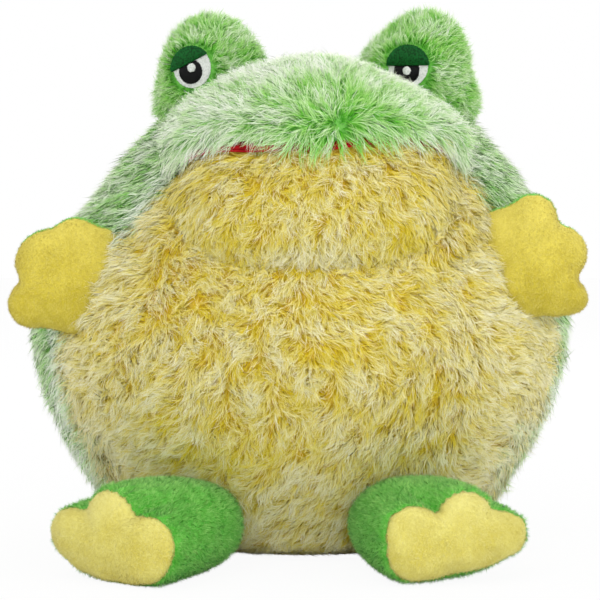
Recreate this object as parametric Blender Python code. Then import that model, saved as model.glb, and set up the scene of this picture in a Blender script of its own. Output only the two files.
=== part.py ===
# Plush frog: a big stuffed ball of a body with lips, eye mounds, hands and feet sewn on.
# Sizes are in metres, +Z is up and the face looks along -Y. The toy sits on its flat base.

import math

import bmesh
import bpy
from mathutils import Matrix, Vector

# The gap left between two pieces that touch, and the depth of the two kinds of pile fabric.
GAP = 0.0003
LONG_PILE = 0.012
SHORT_PILE = 0.005
NO_SHIFT = Vector((0.0, 0.0, 0.0))

# The ball: radius and height up its outside, from the edge of the flat base to the crown.
# Its upper half leans a little towards +X, between the two lean heights.
BODY_KEYS = (
    (0.085, 0.000),
    (0.118, 0.012),
    (0.144, 0.045),
    (0.168, 0.092),
    (0.178, 0.138),
    (0.170, 0.182),
    (0.148, 0.224),
    (0.115, 0.266),
    (0.075, 0.298),
    (0.000, 0.315),
)
BODY_DEPTH_RATIO = 0.93
BODY_SET_BACK = 0.024
BODY_LEAN = 0.0095
LEAN_FROM = 0.165
LEAN_TO = 0.245
BASE_INNER_RING = 0.047
BODY_FACES = {"steps": 2, "segments": 32}
HOLLOW_FACES = {"steps": 1, "segments": 24}

# The seam between the belly and the back is a slice that leans forward and turns a little.
SEAM_LOW = Vector((0.0, -0.036, 0.030))
SEAM_HIGH = Vector((0.0, -0.100, 0.240))
SEAM_TURN = math.radians(5)

# Lips: centre, half sizes across, deep and up, the half size down, how square they are, and
# how much the lower one tips up towards +X.
LOWER_LIP = {
    "centre": (0.008, -0.090, 0.224),
    "size": (0.092, 0.078, 0.048),
    "down": 0.060,
    "square": 2.5,
    "tip": 0.05,
}
UPPER_LIP = {
    "centre": (0.010, -0.098, 0.262),
    "size": (0.098, 0.066, 0.056),
    "down": 0.038,
    "square": 1.65,
    "tip": 0.0,
}
UPPER_LIP_HINGE = Vector((0.011, -0.040, 0.316))
UPPER_LIP_LIFT = math.radians(12)
LIP_FACES = {"segments": 28, "rings": 14}
LIP_HOLLOW_FACES = {"segments": 20, "rings": 8}
LINING_THICK = 0.0011
LINING_TUCK = 0.003

# Eye mounds and the embroidered eyes on them. Left is the frog's own left, at +X.
# Each round patch of an eye is given as across, up and radius.
MOUND_SIZE = (0.036, 0.036, 0.049)
MOUND_DOWN = 0.046
MOUND_SQUARE = 2.1
MOUND_PILE = 0.010
MOUND_FACES = {"segments": 20, "rings": 10}
MOUND_HOLLOW_FACES = {"segments": 14, "rings": 7}
MOUNDS = {
    "left": {"centre": (0.076, -0.020, 0.300), "eye_turn": math.radians(-13), "eye_up": 0.0092},
    "right": {"centre": (-0.0575, -0.020, 0.298), "eye_turn": math.radians(-20), "eye_up": 0.0105},
}
EYE_RADIUS = 0.0128
EYE_SEAT = 0.0320
WHITE_THICK = 0.0010
PUPIL_THICK = 0.0006
HIGHLIGHT_THICK = 0.0005
LID_THICK = 0.0016
LID_OVERHANG = 0.0012
HIGHLIGHT_FACES = 14
EYES = {
    "left": {
        "pupil": (-0.0008, -0.0026, 0.0083),
        "highlight": (-0.0006, -0.0026, 0.0026),
        "lid_height": 0.0006,
        "lid_slope": 0.0,
    },
    "right": {
        "pupil": (-0.0006, -0.0025, 0.0078),
        "highlight": (0.0002, 0.0, 0.0028),
        "lid_height": 0.0036,
        "lid_slope": math.radians(25),
    },
}

# Hands: each lobe is across, up and radius. Three fingers, then the palm, then the wrist.
HAND_HALF_THICK = 0.0155
HAND_Y = -0.092
HAND_FULLNESS = 0.9
HAND_FACES = {"segments": 32, "rings": 8}
HAND_HOLLOW_FACES = {"segments": 20, "rings": 6}
HANDS = {
    "left": {
        "lobes": (
            (0.1440, 0.2135, 0.0182),
            (0.1580, 0.1905, 0.0238),
            (0.1690, 0.1640, 0.0130),
            (0.1580, 0.1670, 0.0172),
            (0.1270, 0.2000, 0.0228),
            (0.1400, 0.1740, 0.0248),
        ),
        "middle": (0.150, 0.188),
        "sewn_top": Vector((0.119, HAND_Y, 0.212)),
        "sewn_bottom": Vector((0.1465, HAND_Y, 0.152)),
    },
    "right": {
        "lobes": (
            (-0.1390, 0.1995, 0.0172),
            (-0.1550, 0.1845, 0.0248),
            (-0.1668, 0.1605, 0.0172),
            (-0.1515, 0.1610, 0.0188),
            (-0.1265, 0.1880, 0.0228),
            (-0.1385, 0.1640, 0.0248),
        ),
        "middle": (-0.149, 0.178),
        "sewn_top": Vector((-0.116, HAND_Y, 0.204)),
        "sewn_bottom": Vector((-0.147, HAND_Y, 0.144)),
    },
}
HAND_SWING = (math.radians(-20), math.radians(35))
NOTCH_ROUNDING = math.radians(8)

# Feet: the sole's lobes in its own plane, outward, up and radius, and the round ankle behind it.
FOOT_MIDDLE = (0.000, 0.029)
ANKLE_HALF = (0.043, 0.032)
ANKLE_FADE = 0.050
FOOT_LENGTH = 0.110
FOOT_SQUARE = 2.9
TOE_DEPTH = 0.022
SOLE_DEPTH = 0.012
FOOT_SUNK = 0.0008
FOOT_FACES = {"segments": 30, "rings": 10}
FOOT_HOLLOW_FACES = {"segments": 20, "rings": 8}
FEET = {
    "left": {
        "side": 1,
        "sole": (0.092, -0.195),
        "turn": math.radians(20),
        "hinge_back": 0.062,
        "lobes": (
            (-0.0250, 0.0320, 0.0193),
            (0.0110, 0.0380, 0.0211),
            (0.0400, 0.0290, 0.0156),
            (-0.0232, 0.0216, 0.0208),
            (0.0021, 0.0258, 0.0220),
            (0.0211, 0.0258, 0.0178),
        ),
    },
    "right": {
        "side": -1,
        "sole": (-0.117, -0.192),
        "turn": math.radians(38),
        "hinge_back": 0.060,
        "lobes": (
            (-0.0327, 0.0269, 0.0185),
            (0.0026, 0.0385, 0.0216),
            (0.0374, 0.0278, 0.0180),
            (-0.0264, 0.0225, 0.0225),
            (-0.0063, 0.0240, 0.0240),
            (0.0127, 0.0230, 0.0230),
        ),
    },
}
FOOT_HINGE_UP = 0.060
FOOT_LIFT = math.radians(20)

# Sizes of the blocks that halve a form: on the eye, on a limb, on the ball and under the toy.
EYE_BLOCK = 0.1
LIMB_BLOCK = 0.5
BODY_BLOCK = 0.8
FLOOR_BLOCK = 1.0

# Colours of the fabrics, as red, green and blue from 0 to 255.
COLOURS = {
    "back_pile": (122, 196, 92),
    "belly_pile": (226, 204, 106),
    "lip_pile": (150, 208, 122),
    "short_green": (92, 182, 70),
    "short_yellow": (222, 200, 84),
    "lining": (186, 28, 42),
    "eye_white": (228, 228, 224),
    "eye_black": (12, 12, 12),
    "lid_green": (12, 84, 40),
    "stuffing": (240, 240, 238),
}

STITCH_ROUGHNESS = 0.55
PILE_ROUGHNESS = 0.95
STITCHED = ("eye_white", "eye_black", "lid_green")
ROUGHNESS = {name: STITCH_ROUGHNESS if name in STITCHED else PILE_ROUGHNESS for name in COLOURS}


# Small helpers for curves, colours and frames.
def smooth_line(keys, steps):
    """Returns points on a smooth curve through the keys, with steps spans between two keys."""
    ends = [keys[0], *keys, (-keys[-2][0], keys[-2][1])]
    line = []
    for i in range(1, len(ends) - 2):
        before, start, end, after = ends[i - 1 : i + 3]
        for step in range(steps):
            t = step / steps
            point = []
            for b, s, e, a in zip(before, start, end, after):
                bend = (2 * b - 5 * s + 4 * e - a) * t**2 + (3 * s - b - 3 * e + a) * t**3
                point.append(s + ((e - b) * t + bend) / 2)
            line.append(tuple(point))
    line.append(keys[-1])
    return line


def grown_line(line, grow):
    """Moves a profile of radius and height outward by grow, square to itself."""
    moved = []
    for i, (radius, height) in enumerate(line):
        before = line[max(i - 1, 0)]
        after = line[min(i + 1, len(line) - 1)]
        run = Vector((after[0] - before[0], after[1] - before[1])).normalized()
        moved.append((max(radius + run.y * grow, 0.0), height - run.x * grow))
    moved[0] = (0.0, line[0][1] - grow)
    moved[-1] = (0.0, line[-1][1] + grow)
    return moved


def linear(colour):
    """Returns a colour of 0 to 255 as linear light with full alpha."""
    return (*[(part / 255) ** 2.2 for part in colour], 1.0)


def turned(angle, axis, about):
    """Returns the matrix that turns by angle round an axis through a point."""
    return Matrix.Translation(about) @ Matrix.Rotation(angle, 4, axis) @ Matrix.Translation(-about)


def finished(bm):
    """Faces a closed form outward and splits its quads one way, so that nested forms match."""
    if bm.calc_volume(signed=True) < 0:
        bmesh.ops.reverse_faces(bm, faces=bm.faces)
    bmesh.ops.triangulate(bm, faces=bm.faces, quad_method="FIXED")
    return bm


# Forms: each returns a closed bmesh in the toy's own frame. grow makes it larger or smaller.
def body_form(grow, steps, segments):
    outside = [(0.0, 0.0), (BASE_INNER_RING, 0.0), *smooth_line(BODY_KEYS, steps)]
    bm = bmesh.new()
    points = [bm.verts.new((radius, 0.0, height)) for radius, height in grown_line(outside, grow)]
    edges = [bm.edges.new(pair) for pair in zip(points, points[1:])]
    bmesh.ops.spin(
        bm,
        geom=points + edges,
        cent=NO_SHIFT,
        axis=(0, 0, 1),
        angle=2 * math.pi,
        steps=segments,
        use_merge=True,
    )
    bmesh.ops.remove_doubles(bm, verts=bm.verts, dist=1e-6)
    for v in bm.verts:
        share = min(max((v.co.z - LEAN_FROM) / (LEAN_TO - LEAN_FROM), 0.0), 1.0)
        v.co.x += BODY_LEAN * share * share * (3 - 2 * share)
        v.co.y *= BODY_DEPTH_RATIO
    return finished(bm)


def swollen_form(centre, size, down, square, tip, grow, segments, rings):
    bm = bmesh.new()
    bmesh.ops.create_uvsphere(bm, u_segments=segments, v_segments=rings, radius=1)
    for v in bm.verts:
        reach = sum(abs(part) ** square for part in v.co) ** (-1 / square)
        height = size[2] if v.co.z > 0 else down
        half = Vector((size[0] + grow, size[1] + grow, height + grow))
        out = Vector([part * reach * h for part, h in zip(v.co, half)])
        v.co = Vector(centre) + out + Vector((0, 0, tip * out.x))
    return finished(bm)


def lobed_reach(lobes, middle, angle):
    """Returns how far an outline of overlapping round lobes reaches from the middle."""
    across, up = math.cos(angle), math.sin(angle)
    reach = 0.0
    for x, z, radius in lobes:
        dx, dz = x - middle[0], z - middle[1]
        along = dx * across + dz * up
        inside = radius**2 - dx * dx - dz * dz + along * along
        if inside > 0:
            reach = max(reach, along + math.sqrt(inside))
    return reach


def soft_reach(lobes, middle, angle):
    """Rounds the notches between lobes off by averaging over a small angle."""
    turns = (-NOTCH_ROUNDING, 0, 0, NOTCH_ROUNDING)
    return sum(lobed_reach(lobes, middle, angle + turn) for turn in turns) / len(turns)


def hand_form(hand, grow, segments, rings):
    bm = bmesh.new()
    bmesh.ops.create_uvsphere(bm, u_segments=segments, v_segments=rings, radius=1)
    middle = hand["middle"]
    for v in bm.verts:
        angle = math.atan2(v.co.y, v.co.x)
        across = math.hypot(v.co.x, v.co.y) ** HAND_FULLNESS
        reach = (soft_reach(hand["lobes"], middle, angle) + grow) * across
        thick = (HAND_HALF_THICK + grow) * v.co.z
        flat = (middle[0] + reach * math.cos(angle), middle[1] + reach * math.sin(angle))
        v.co = (flat[0], HAND_Y - thick, flat[1])
    return finished(bm)


def foot_axes(foot):
    """Returns the foot's outward and forward directions."""
    side, turn = foot["side"], foot["turn"]
    outward = Vector((side * math.cos(turn), math.sin(turn), 0))
    forward = Vector((side * math.sin(turn), -math.cos(turn), 0))
    return outward, forward


def foot_form(foot, grow, segments, rings):
    outward, forward = foot_axes(foot)
    sole = Vector((foot["sole"][0], foot["sole"][1], 0))
    bm = bmesh.new()
    bmesh.ops.create_uvsphere(bm, u_segments=segments, v_segments=rings, radius=1)
    for v in bm.verts:
        angle = math.atan2(v.co.y, v.co.x)
        ring = math.acos(max(-1.0, min(1.0, v.co.z)))
        across = math.sin(ring) ** (2 / FOOT_SQUARE)
        ahead = math.copysign(abs(math.cos(ring)) ** (2 / FOOT_SQUARE), math.cos(ring))
        rest = FOOT_LENGTH - TOE_DEPTH
        back = TOE_DEPTH - ahead * ((TOE_DEPTH if ahead > 0 else rest) + grow)
        fade = min(max((back - SOLE_DEPTH) / ANKLE_FADE, 0.0), 1.0)
        ankle = math.hypot(ANKLE_HALF[0] * math.cos(angle), ANKLE_HALF[1] * math.sin(angle))
        lobed = soft_reach(foot["lobes"], FOOT_MIDDLE, angle)
        reach = (lobed * (1 - fade) + ankle * fade + grow) * across
        flat = outward * (FOOT_MIDDLE[0] + reach * math.cos(angle)) - forward * back
        height = FOOT_MIDDLE[1] - FOOT_SUNK + reach * math.sin(angle)
        v.co = sole + flat + Vector((0, 0, height))
    return finished(bm)


def block_form(centre, facing, size):
    """A big block whose one face holds the centre and that fills the space behind that face."""
    bm = bmesh.new()
    bmesh.ops.create_cube(bm, size=size)
    turn = Vector(facing).to_track_quat("Z", "Y").to_matrix().to_4x4()
    shift = Matrix.Translation(Vector(centre)) @ turn @ Matrix.Translation((0, 0, -size / 2))
    bmesh.ops.transform(bm, matrix=shift, verts=bm.verts)
    return bm


def patch_form(seat, facing, start, thick, across, up, radius, segments=24):
    """A round embroidered patch; start and thick run out along facing from the seat."""
    bm = bmesh.new()
    bmesh.ops.create_cone(
        bm, cap_ends=True, segments=segments, radius1=radius, radius2=radius, depth=thick
    )
    turn = Vector(facing).to_track_quat("Z", "Y").to_matrix().to_4x4()
    inward = Matrix.Translation((across, up, start + thick / 2))
    bmesh.ops.transform(bm, matrix=Matrix.Translation(seat) @ turn @ inward, verts=bm.verts)
    return bm


# Objects: parents stand on the joints, pieces hang from them, and cutters stay out of sight.
def joint_empty(name, place, parent):
    empty = bpy.data.objects.new(name, None)
    bpy.context.scene.collection.objects.link(empty)
    empty.parent = parent
    empty.location = place
    return empty


def as_object(name, bm, parent, origin=NO_SHIFT):
    bmesh.ops.translate(bm, vec=-origin, verts=bm.verts)
    mesh = bpy.data.meshes.new(name)
    bm.to_mesh(mesh)
    bm.free()
    mesh.shade_smooth()
    obj = bpy.data.objects.new(name, mesh)
    bpy.context.scene.collection.objects.link(obj)
    obj.parent = parent
    return obj


def cutter(name, bm, parent, matrix=None):
    obj = as_object(name, bm, parent)
    obj.hide_render = True
    obj.display_type = "WIRE"
    if matrix is not None:
        obj.matrix_local = matrix
    return obj


def piece(name, bm, parent, origin, colour, cuts, keep=()):
    obj = as_object(name, bm, parent, origin)
    material = bpy.data.materials.new(name + "_fabric")
    material.use_nodes = True
    shader = material.node_tree.nodes["Principled BSDF"]
    shader.inputs["Base Color"].default_value = linear(COLOURS[colour])
    shader.inputs["Roughness"].default_value = ROUGHNESS[colour]
    shader.inputs["Metallic"].default_value = 0.0
    obj.data.materials.append(material)
    for tool in cuts:
        modifier = obj.modifiers.new("cut_" + tool.name, "BOOLEAN")
        modifier.operation = "DIFFERENCE"
        modifier.solver = "EXACT"
        modifier.object = tool
    for tool in keep:
        modifier = obj.modifiers.new("keep_" + tool.name, "BOOLEAN")
        modifier.operation = "INTERSECT"
        modifier.solver = "EXACT"
        modifier.object = tool
    return obj


# The ball: two pile panels sewn along the seam round a ball of stuffing.
def build_body(toy):
    inside = cutter("ball_inside", body_form(-LONG_PILE, **HOLLOW_FACES), toy)
    along = (SEAM_HIGH - SEAM_LOW).normalized()
    square = Matrix.Rotation(SEAM_TURN, 3, "Z") @ Vector((0, along.z, -along.y))
    middle = (SEAM_LOW + SEAM_HIGH) / 2
    ahead = block_form(middle + square * GAP / 2, square, BODY_BLOCK)
    behind = block_form(middle - square * GAP / 2, -square, BODY_BLOCK)
    front = cutter("seam_front", ahead, toy)
    rear = cutter("seam_rear", behind, toy)
    skin = body_form(0.0, **BODY_FACES)
    filling = body_form(-LONG_PILE - GAP, **HOLLOW_FACES)
    piece("back_panel", skin.copy(), toy, NO_SHIFT, "back_pile", [inside, front])
    piece("belly_panel", skin, toy, NO_SHIFT, "belly_pile", [inside, rear])
    piece("body_stuffing", filling, toy, NO_SHIFT, "stuffing", [])


# The lips: swollen pads round the mouth, which is lined above and below.
def build_lips(toy, body_cutter):
    hinge = UPPER_LIP_HINGE
    joint = joint_empty("upper_lip_joint", hinge, toy)
    lining_room = 2 * LINING_THICK + 3 * GAP
    hollow = swollen_form(**LOWER_LIP, grow=-LONG_PILE, **LIP_HOLLOW_FACES)
    inside = cutter("lower_lip_inside", hollow, toy)
    skin = swollen_form(**LOWER_LIP, grow=0.0, **LIP_FACES)
    filling = swollen_form(**LOWER_LIP, grow=-LONG_PILE - GAP, **LIP_HOLLOW_FACES)
    piece("lower_lip_skin", skin, toy, NO_SHIFT, "belly_pile", [inside, body_cutter])
    piece("lower_lip_stuffing", filling, toy, NO_SHIFT, "stuffing", [body_cutter])

    floor = swollen_form(**LOWER_LIP, grow=lining_room, **LIP_FACES)
    cuts = [body_cutter, cutter("mouth_floor", floor, toy)]
    hollow = swollen_form(**UPPER_LIP, grow=-LONG_PILE, **LIP_HOLLOW_FACES)
    inside = cutter("upper_lip_inside", hollow, toy)
    skin = swollen_form(**UPPER_LIP, grow=0.0, **LIP_FACES)
    filling = swollen_form(**UPPER_LIP, grow=-LONG_PILE - GAP, **LIP_HOLLOW_FACES)
    piece("upper_lip_skin", skin, joint, hinge, "lip_pile", [inside, *cuts])
    piece("upper_lip_stuffing", filling, joint, hinge, "stuffing", cuts)

    edge = swollen_form(**UPPER_LIP, grow=-LINING_TUCK, **LIP_FACES)
    inside_lips = cutter("lining_edge", edge, toy)
    sheets = (
        ("mouth_lining_lower", GAP, toy, NO_SHIFT),
        ("mouth_lining_upper", 2 * GAP + LINING_THICK, joint, hinge),
    )
    for name, start, parent, origin in sheets:
        below = swollen_form(**LOWER_LIP, grow=start, **LIP_FACES)
        under = cutter(name + "_under", below, toy)
        sheet = swollen_form(**LOWER_LIP, grow=start + LINING_THICK, **LIP_FACES)
        piece(name, sheet, parent, origin, "lining", [under, body_cutter], [inside_lips])


# The eye mounds: a pile dome on each side of the crown, with a flat seat for the eye.
def build_mounds(toy, body_cutter):
    lip_sweep = []
    for share in (0.0, 0.5, 1.0):
        turn = turned(UPPER_LIP_LIFT * share, (-1, 0, 0), UPPER_LIP_HINGE)
        grown = swollen_form(**UPPER_LIP, grow=GAP, **LIP_FACES)
        lip_sweep.append(cutter(f"lip_lifted_{share:.1f}", grown, toy, turn))
    for side, mound in MOUNDS.items():
        shape = {
            "centre": mound["centre"],
            "size": MOUND_SIZE,
            "down": MOUND_DOWN,
            "square": MOUND_SQUARE,
            "tip": 0.0,
        }
        facing = Vector((math.sin(mound["eye_turn"]), -math.cos(mound["eye_turn"]), 0))
        seat = Vector(mound["centre"]) + facing * EYE_SEAT + Vector((0, 0, mound["eye_up"]))
        hollow = swollen_form(**shape, grow=-MOUND_PILE, **MOUND_HOLLOW_FACES)
        inside = cutter(f"mound_inside_{side}", hollow, toy)
        front = cutter(f"eye_seat_{side}", block_form(seat, -facing, EYE_BLOCK), toy)
        skin = swollen_form(**shape, grow=0.0, **MOUND_FACES)
        filling = swollen_form(**shape, grow=-MOUND_PILE - GAP, **MOUND_HOLLOW_FACES)
        outer = [body_cutter, *lip_sweep]
        piece(f"eye_mound_{side}", skin, toy, NO_SHIFT, "back_pile", [inside, *outer, front])
        piece(f"eye_mound_stuffing_{side}", filling, toy, NO_SHIFT, "stuffing", outer)
        build_eye(side, toy, seat, facing)


# Each eye: a white patch, a black pupil with a highlight, and a sleepy lid over the top.
def build_eye(side, toy, seat, facing):
    eye = EYES[side]
    front = WHITE_THICK + 2 * GAP
    turn = Vector(facing).to_track_quat("Z", "Y").to_matrix()
    lid_up = turn @ Vector((-math.sin(eye["lid_slope"]), math.cos(eye["lid_slope"]), 0))
    lid_edge = seat + turn @ Vector((0, eye["lid_height"], 0))
    below = cutter(f"below_lid_{side}", block_form(lid_edge, lid_up, EYE_BLOCK), toy)
    above_edge = block_form(lid_edge - lid_up * GAP, -lid_up, EYE_BLOCK)
    above = cutter(f"above_lid_{side}", above_edge, toy)
    white = patch_form(seat, facing, GAP, WHITE_THICK, 0, 0, EYE_RADIUS)
    piece(f"eye_white_{side}", white, toy, NO_SHIFT, "eye_white", [])
    pupil = patch_form(seat, facing, front, PUPIL_THICK, *eye["pupil"])
    piece(f"pupil_{side}", pupil, toy, NO_SHIFT, "eye_black", [above])
    start = front + PUPIL_THICK + GAP
    shine = patch_form(seat, facing, start, HIGHLIGHT_THICK, *eye["highlight"], HIGHLIGHT_FACES)
    piece(f"highlight_{side}", shine, toy, NO_SHIFT, "eye_white", [above])
    lid = patch_form(seat, facing, front, LID_THICK, 0, 0, EYE_RADIUS + LID_OVERHANG)
    piece(f"eyelid_{side}", lid, toy, NO_SHIFT, "lid_green", [below])


# The hands: flat stuffed mitts with a yellow palm and a green back, sewn on along one line.
def build_hands(toy):
    for side, hand in HANDS.items():
        hinge = (hand["sewn_top"] + hand["sewn_bottom"]) / 2
        line = (hand["sewn_bottom"] - hand["sewn_top"]).normalized()
        axis = line if side == "left" else -line
        joint = joint_empty(f"hand_{side}_joint", hinge, toy)
        ball_sweep = []
        for swing in (HAND_SWING[0], 0.0, HAND_SWING[1]):
            name = f"ball_at_hand_{side}_{math.degrees(swing):.0f}"
            ball = body_form(GAP, **BODY_FACES)
            ball_sweep.append(cutter(name, ball, toy, turned(-swing, axis, hinge)))
        hollow = hand_form(hand, -SHORT_PILE, **HAND_HOLLOW_FACES)
        inside = cutter(f"hand_inside_{side}", hollow, toy)
        edge = Vector((0, HAND_Y, 0))
        step = Vector((0, GAP / 2, 0))
        back_half = block_form(edge + step, (0, 1, 0), LIMB_BLOCK)
        palm_half = block_form(edge - step, (0, -1, 0), LIMB_BLOCK)
        front = cutter(f"hand_front_{side}", back_half, toy)
        rear = cutter(f"hand_rear_{side}", palm_half, toy)
        skin = hand_form(hand, 0.0, **HAND_FACES)
        filling = hand_form(hand, -SHORT_PILE - GAP, **HAND_HOLLOW_FACES)
        palm_cuts = [inside, rear, *ball_sweep]
        back_cuts = [inside, front, *ball_sweep]
        piece(f"hand_palm_{side}", skin.copy(), joint, hinge, "short_yellow", palm_cuts)
        piece(f"hand_back_{side}", skin, joint, hinge, "short_green", back_cuts)
        piece(f"hand_stuffing_{side}", filling, joint, hinge, "stuffing", ball_sweep)


# The feet: stuffed paws with a yellow sole in front and a green upper back to the ankle.
def build_feet(toy):
    floor = cutter("floor", block_form((0, 0, 0), (0, 0, 1), FLOOR_BLOCK), toy)
    for side, foot in FEET.items():
        forward = foot_axes(foot)[1]
        sole = Vector((foot["sole"][0], foot["sole"][1], 0))
        hinge = sole - forward * foot["hinge_back"] + Vector((0, 0, FOOT_HINGE_UP))
        axis = Vector((forward.y, -forward.x, 0))
        joint = joint_empty(f"foot_{side}_joint", hinge, toy)
        ball_sweep = []
        for lift in (0.0, FOOT_LIFT):
            name = f"ball_at_foot_{side}_{math.degrees(lift):.0f}"
            ball = body_form(GAP, **BODY_FACES)
            ball_sweep.append(cutter(name, ball, toy, turned(-lift, axis, hinge)))
        hollow = foot_form(foot, -SHORT_PILE, **FOOT_HOLLOW_FACES)
        inside = cutter(f"foot_inside_{side}", hollow, toy)
        edge = sole - forward * SOLE_DEPTH
        step = forward * GAP / 2
        front = cutter(f"foot_front_{side}", block_form(edge - step, -forward, LIMB_BLOCK), toy)
        rear = cutter(f"foot_rear_{side}", block_form(edge + step, forward, LIMB_BLOCK), toy)
        skin = foot_form(foot, 0.0, **FOOT_FACES)
        filling = foot_form(foot, -SHORT_PILE - GAP, **FOOT_HOLLOW_FACES)
        cuts = [inside, floor, *ball_sweep]
        piece(f"foot_sole_{side}", skin.copy(), joint, hinge, "short_yellow", [rear, *cuts])
        piece(f"foot_upper_{side}", skin, joint, hinge, "short_green", [front, *cuts])
        piece(f"foot_stuffing_{side}", filling, joint, hinge, "stuffing", ball_sweep)


def build_frog():
    for old in list(bpy.data.objects):
        bpy.data.objects.remove(old)
    toy = joint_empty("frog", (0, BODY_SET_BACK, 0), None)
    body_cutter = cutter("ball_outside", body_form(GAP, **BODY_FACES), toy)
    build_body(toy)
    build_lips(toy, body_cutter)
    build_mounds(toy, body_cutter)
    build_hands(toy)
    build_feet(toy)
    bpy.context.view_layer.update()


build_frog()
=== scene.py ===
import math

import bmesh
import bpy
import numpy as np
from mathutils import Matrix, Vector


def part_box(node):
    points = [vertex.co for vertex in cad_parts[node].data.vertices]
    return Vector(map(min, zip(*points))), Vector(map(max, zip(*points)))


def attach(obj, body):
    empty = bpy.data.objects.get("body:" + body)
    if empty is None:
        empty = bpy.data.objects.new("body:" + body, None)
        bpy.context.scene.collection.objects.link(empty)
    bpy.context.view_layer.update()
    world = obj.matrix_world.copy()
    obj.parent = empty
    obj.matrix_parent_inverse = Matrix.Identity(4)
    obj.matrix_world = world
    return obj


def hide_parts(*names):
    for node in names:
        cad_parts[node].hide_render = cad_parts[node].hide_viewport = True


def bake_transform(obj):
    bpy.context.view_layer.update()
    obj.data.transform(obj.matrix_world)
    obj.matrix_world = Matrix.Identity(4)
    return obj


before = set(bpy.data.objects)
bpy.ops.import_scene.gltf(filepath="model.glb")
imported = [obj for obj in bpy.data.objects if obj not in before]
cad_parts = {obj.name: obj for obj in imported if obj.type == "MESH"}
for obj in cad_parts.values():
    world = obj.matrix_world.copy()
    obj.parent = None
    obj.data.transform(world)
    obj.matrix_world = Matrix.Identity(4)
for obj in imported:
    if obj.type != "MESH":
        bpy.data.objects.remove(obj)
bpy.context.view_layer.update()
lowCorner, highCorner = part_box("body_stuffing")
setBack = (lowCorner.y + highCorner.y) / 2  # how far the ball's middle stands from the frame's
toyShift = np.array([0.0, setBack, 0.0])
print("frame loaded")


# Small maths helpers. Shapes are worked out in the toy's own frame and moved back at the end.
waveMix = {"count": 6, "pace": (0.6, 1.6)}


def srgb(red, green, blue):
    return (*[(part / 255) ** 2.2 for part in (red, green, blue)], 1.0)


def ease(value, low, high):
    share = np.clip((value - low) / (high - low), 0, 1)
    return share * share * (3 - 2 * share)


def bell(value, middle, wide):
    return np.exp(-(((value - middle) / wide) ** 2))


def unit(vectors):
    return vectors / np.maximum(np.linalg.norm(vectors, axis=-1, keepdims=True), 1e-9)


def flatTo(normals, vectors):
    return unit(vectors - normals * np.sum(normals * vectors, axis=1, keepdims=True))


def together(*parts):
    return np.stack(np.broadcast_arrays(*parts), 1)


def turnsOf(count):
    return 2 * math.pi * np.arange(count) / count


def waves(places, size, seed):
    rng = np.random.default_rng(seed)
    total = np.zeros(len(places))
    for _ in range(waveMix["count"]):
        run = rng.normal(size=3)
        run *= rng.uniform(*waveMix["pace"]) / (np.linalg.norm(run) * size)
        total += np.sin(2 * math.pi * (places @ run + rng.random()))
    return total / waveMix["count"] ** 0.5


def ruffle(places, size, share, seeds):
    sways = [waves(places, size, seed) if seed else np.zeros(len(places)) for seed in seeds]
    return np.stack(sways, 1) * share


# Shader nodes: a wire is one output socket, and maths on wires adds Math nodes.
class Wire:
    def __init__(self, nodes, socket):
        self.nodes = nodes
        self.socket = socket

    def maths(self, operation, other):
        return self.nodes.node("ShaderNodeMath", {"operation": operation}, {0: self, 1: other})

    def __add__(self, other):
        return self.maths("ADD", other)

    def __mul__(self, other):
        return self.maths("MULTIPLY", other)


class Nodes:
    def __init__(self, tree):
        self.tree = tree

    def node(self, kind, settings, sockets, output=0):
        made = self.tree.nodes.new(kind)
        for key, value in settings.items():
            setattr(made, key, value)
        for key, value in sockets.items():
            self.plug(made.inputs[key], value)
        return Wire(self, made.outputs[output])

    def plug(self, socket, value):
        if isinstance(value, Wire):
            self.tree.links.new(value.socket, socket)
        else:
            socket.default_value = value

    def rays(self, *kinds):
        found = [self.node("ShaderNodeLightPath", {}, {}, f"Is {kind} Ray") for kind in kinds]
        both = found[0]
        for wire in found[1:]:
            both = both.maths("MAXIMUM", wire)
        return both


class Fabric(Nodes):
    def __init__(self, name):
        self.material = bpy.data.materials.new(name)
        self.material.use_nodes = True
        super().__init__(self.material.node_tree)
        self.shader = self.tree.nodes["Principled BSDF"]

    def ramp(self, share, stops):
        wire = self.node("ShaderNodeValToRGB", {}, {"Fac": share})
        elements = wire.socket.node.color_ramp.elements
        while len(elements) < len(stops):
            elements.new(0.5)
        for element, (place, colour) in zip(elements, stops):
            element.position = place
            element.color = colour
        return wire

    def level(self, share, low, high):
        ends = {"From Min": low, "From Max": high}
        settings = {"interpolation_type": "SMOOTHSTEP"}
        return self.node("ShaderNodeMapRange", settings, {"Value": share, **ends})

    def mixed(self, share, first, second):
        return self.node("ShaderNodeMix", {"data_type": "RGBA"}, {0: share, 6: first, 7: second}, 2)

    def place(self):
        return self.node("ShaderNodeTexCoord", {}, {}, "Object")

    def part(self, vector, index):
        return self.node("ShaderNodeSeparateXYZ", {}, {"Vector": vector}, index)

    def onBlade(self):
        spot = self.node("ShaderNodeUVMap", {"uv_map": "OFBake"}, {})
        return self.part(spot, 0), self.part(spot, 1)

    def noise(self, size, detail=2.0):
        sockets = {"Vector": self.place(), "Scale": 1 / size, "Detail": detail}
        return self.node("ShaderNodeTexNoise", {}, sockets)

    def bump(self, height, depth, strength):
        sockets = {"Height": height, "Distance": depth, "Strength": strength}
        return self.node("ShaderNodeBump", {}, sockets)

    def finish(self, sockets):
        for key, value in sockets.items():
            self.plug(self.shader.inputs[key], value)
        return self.material


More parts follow.
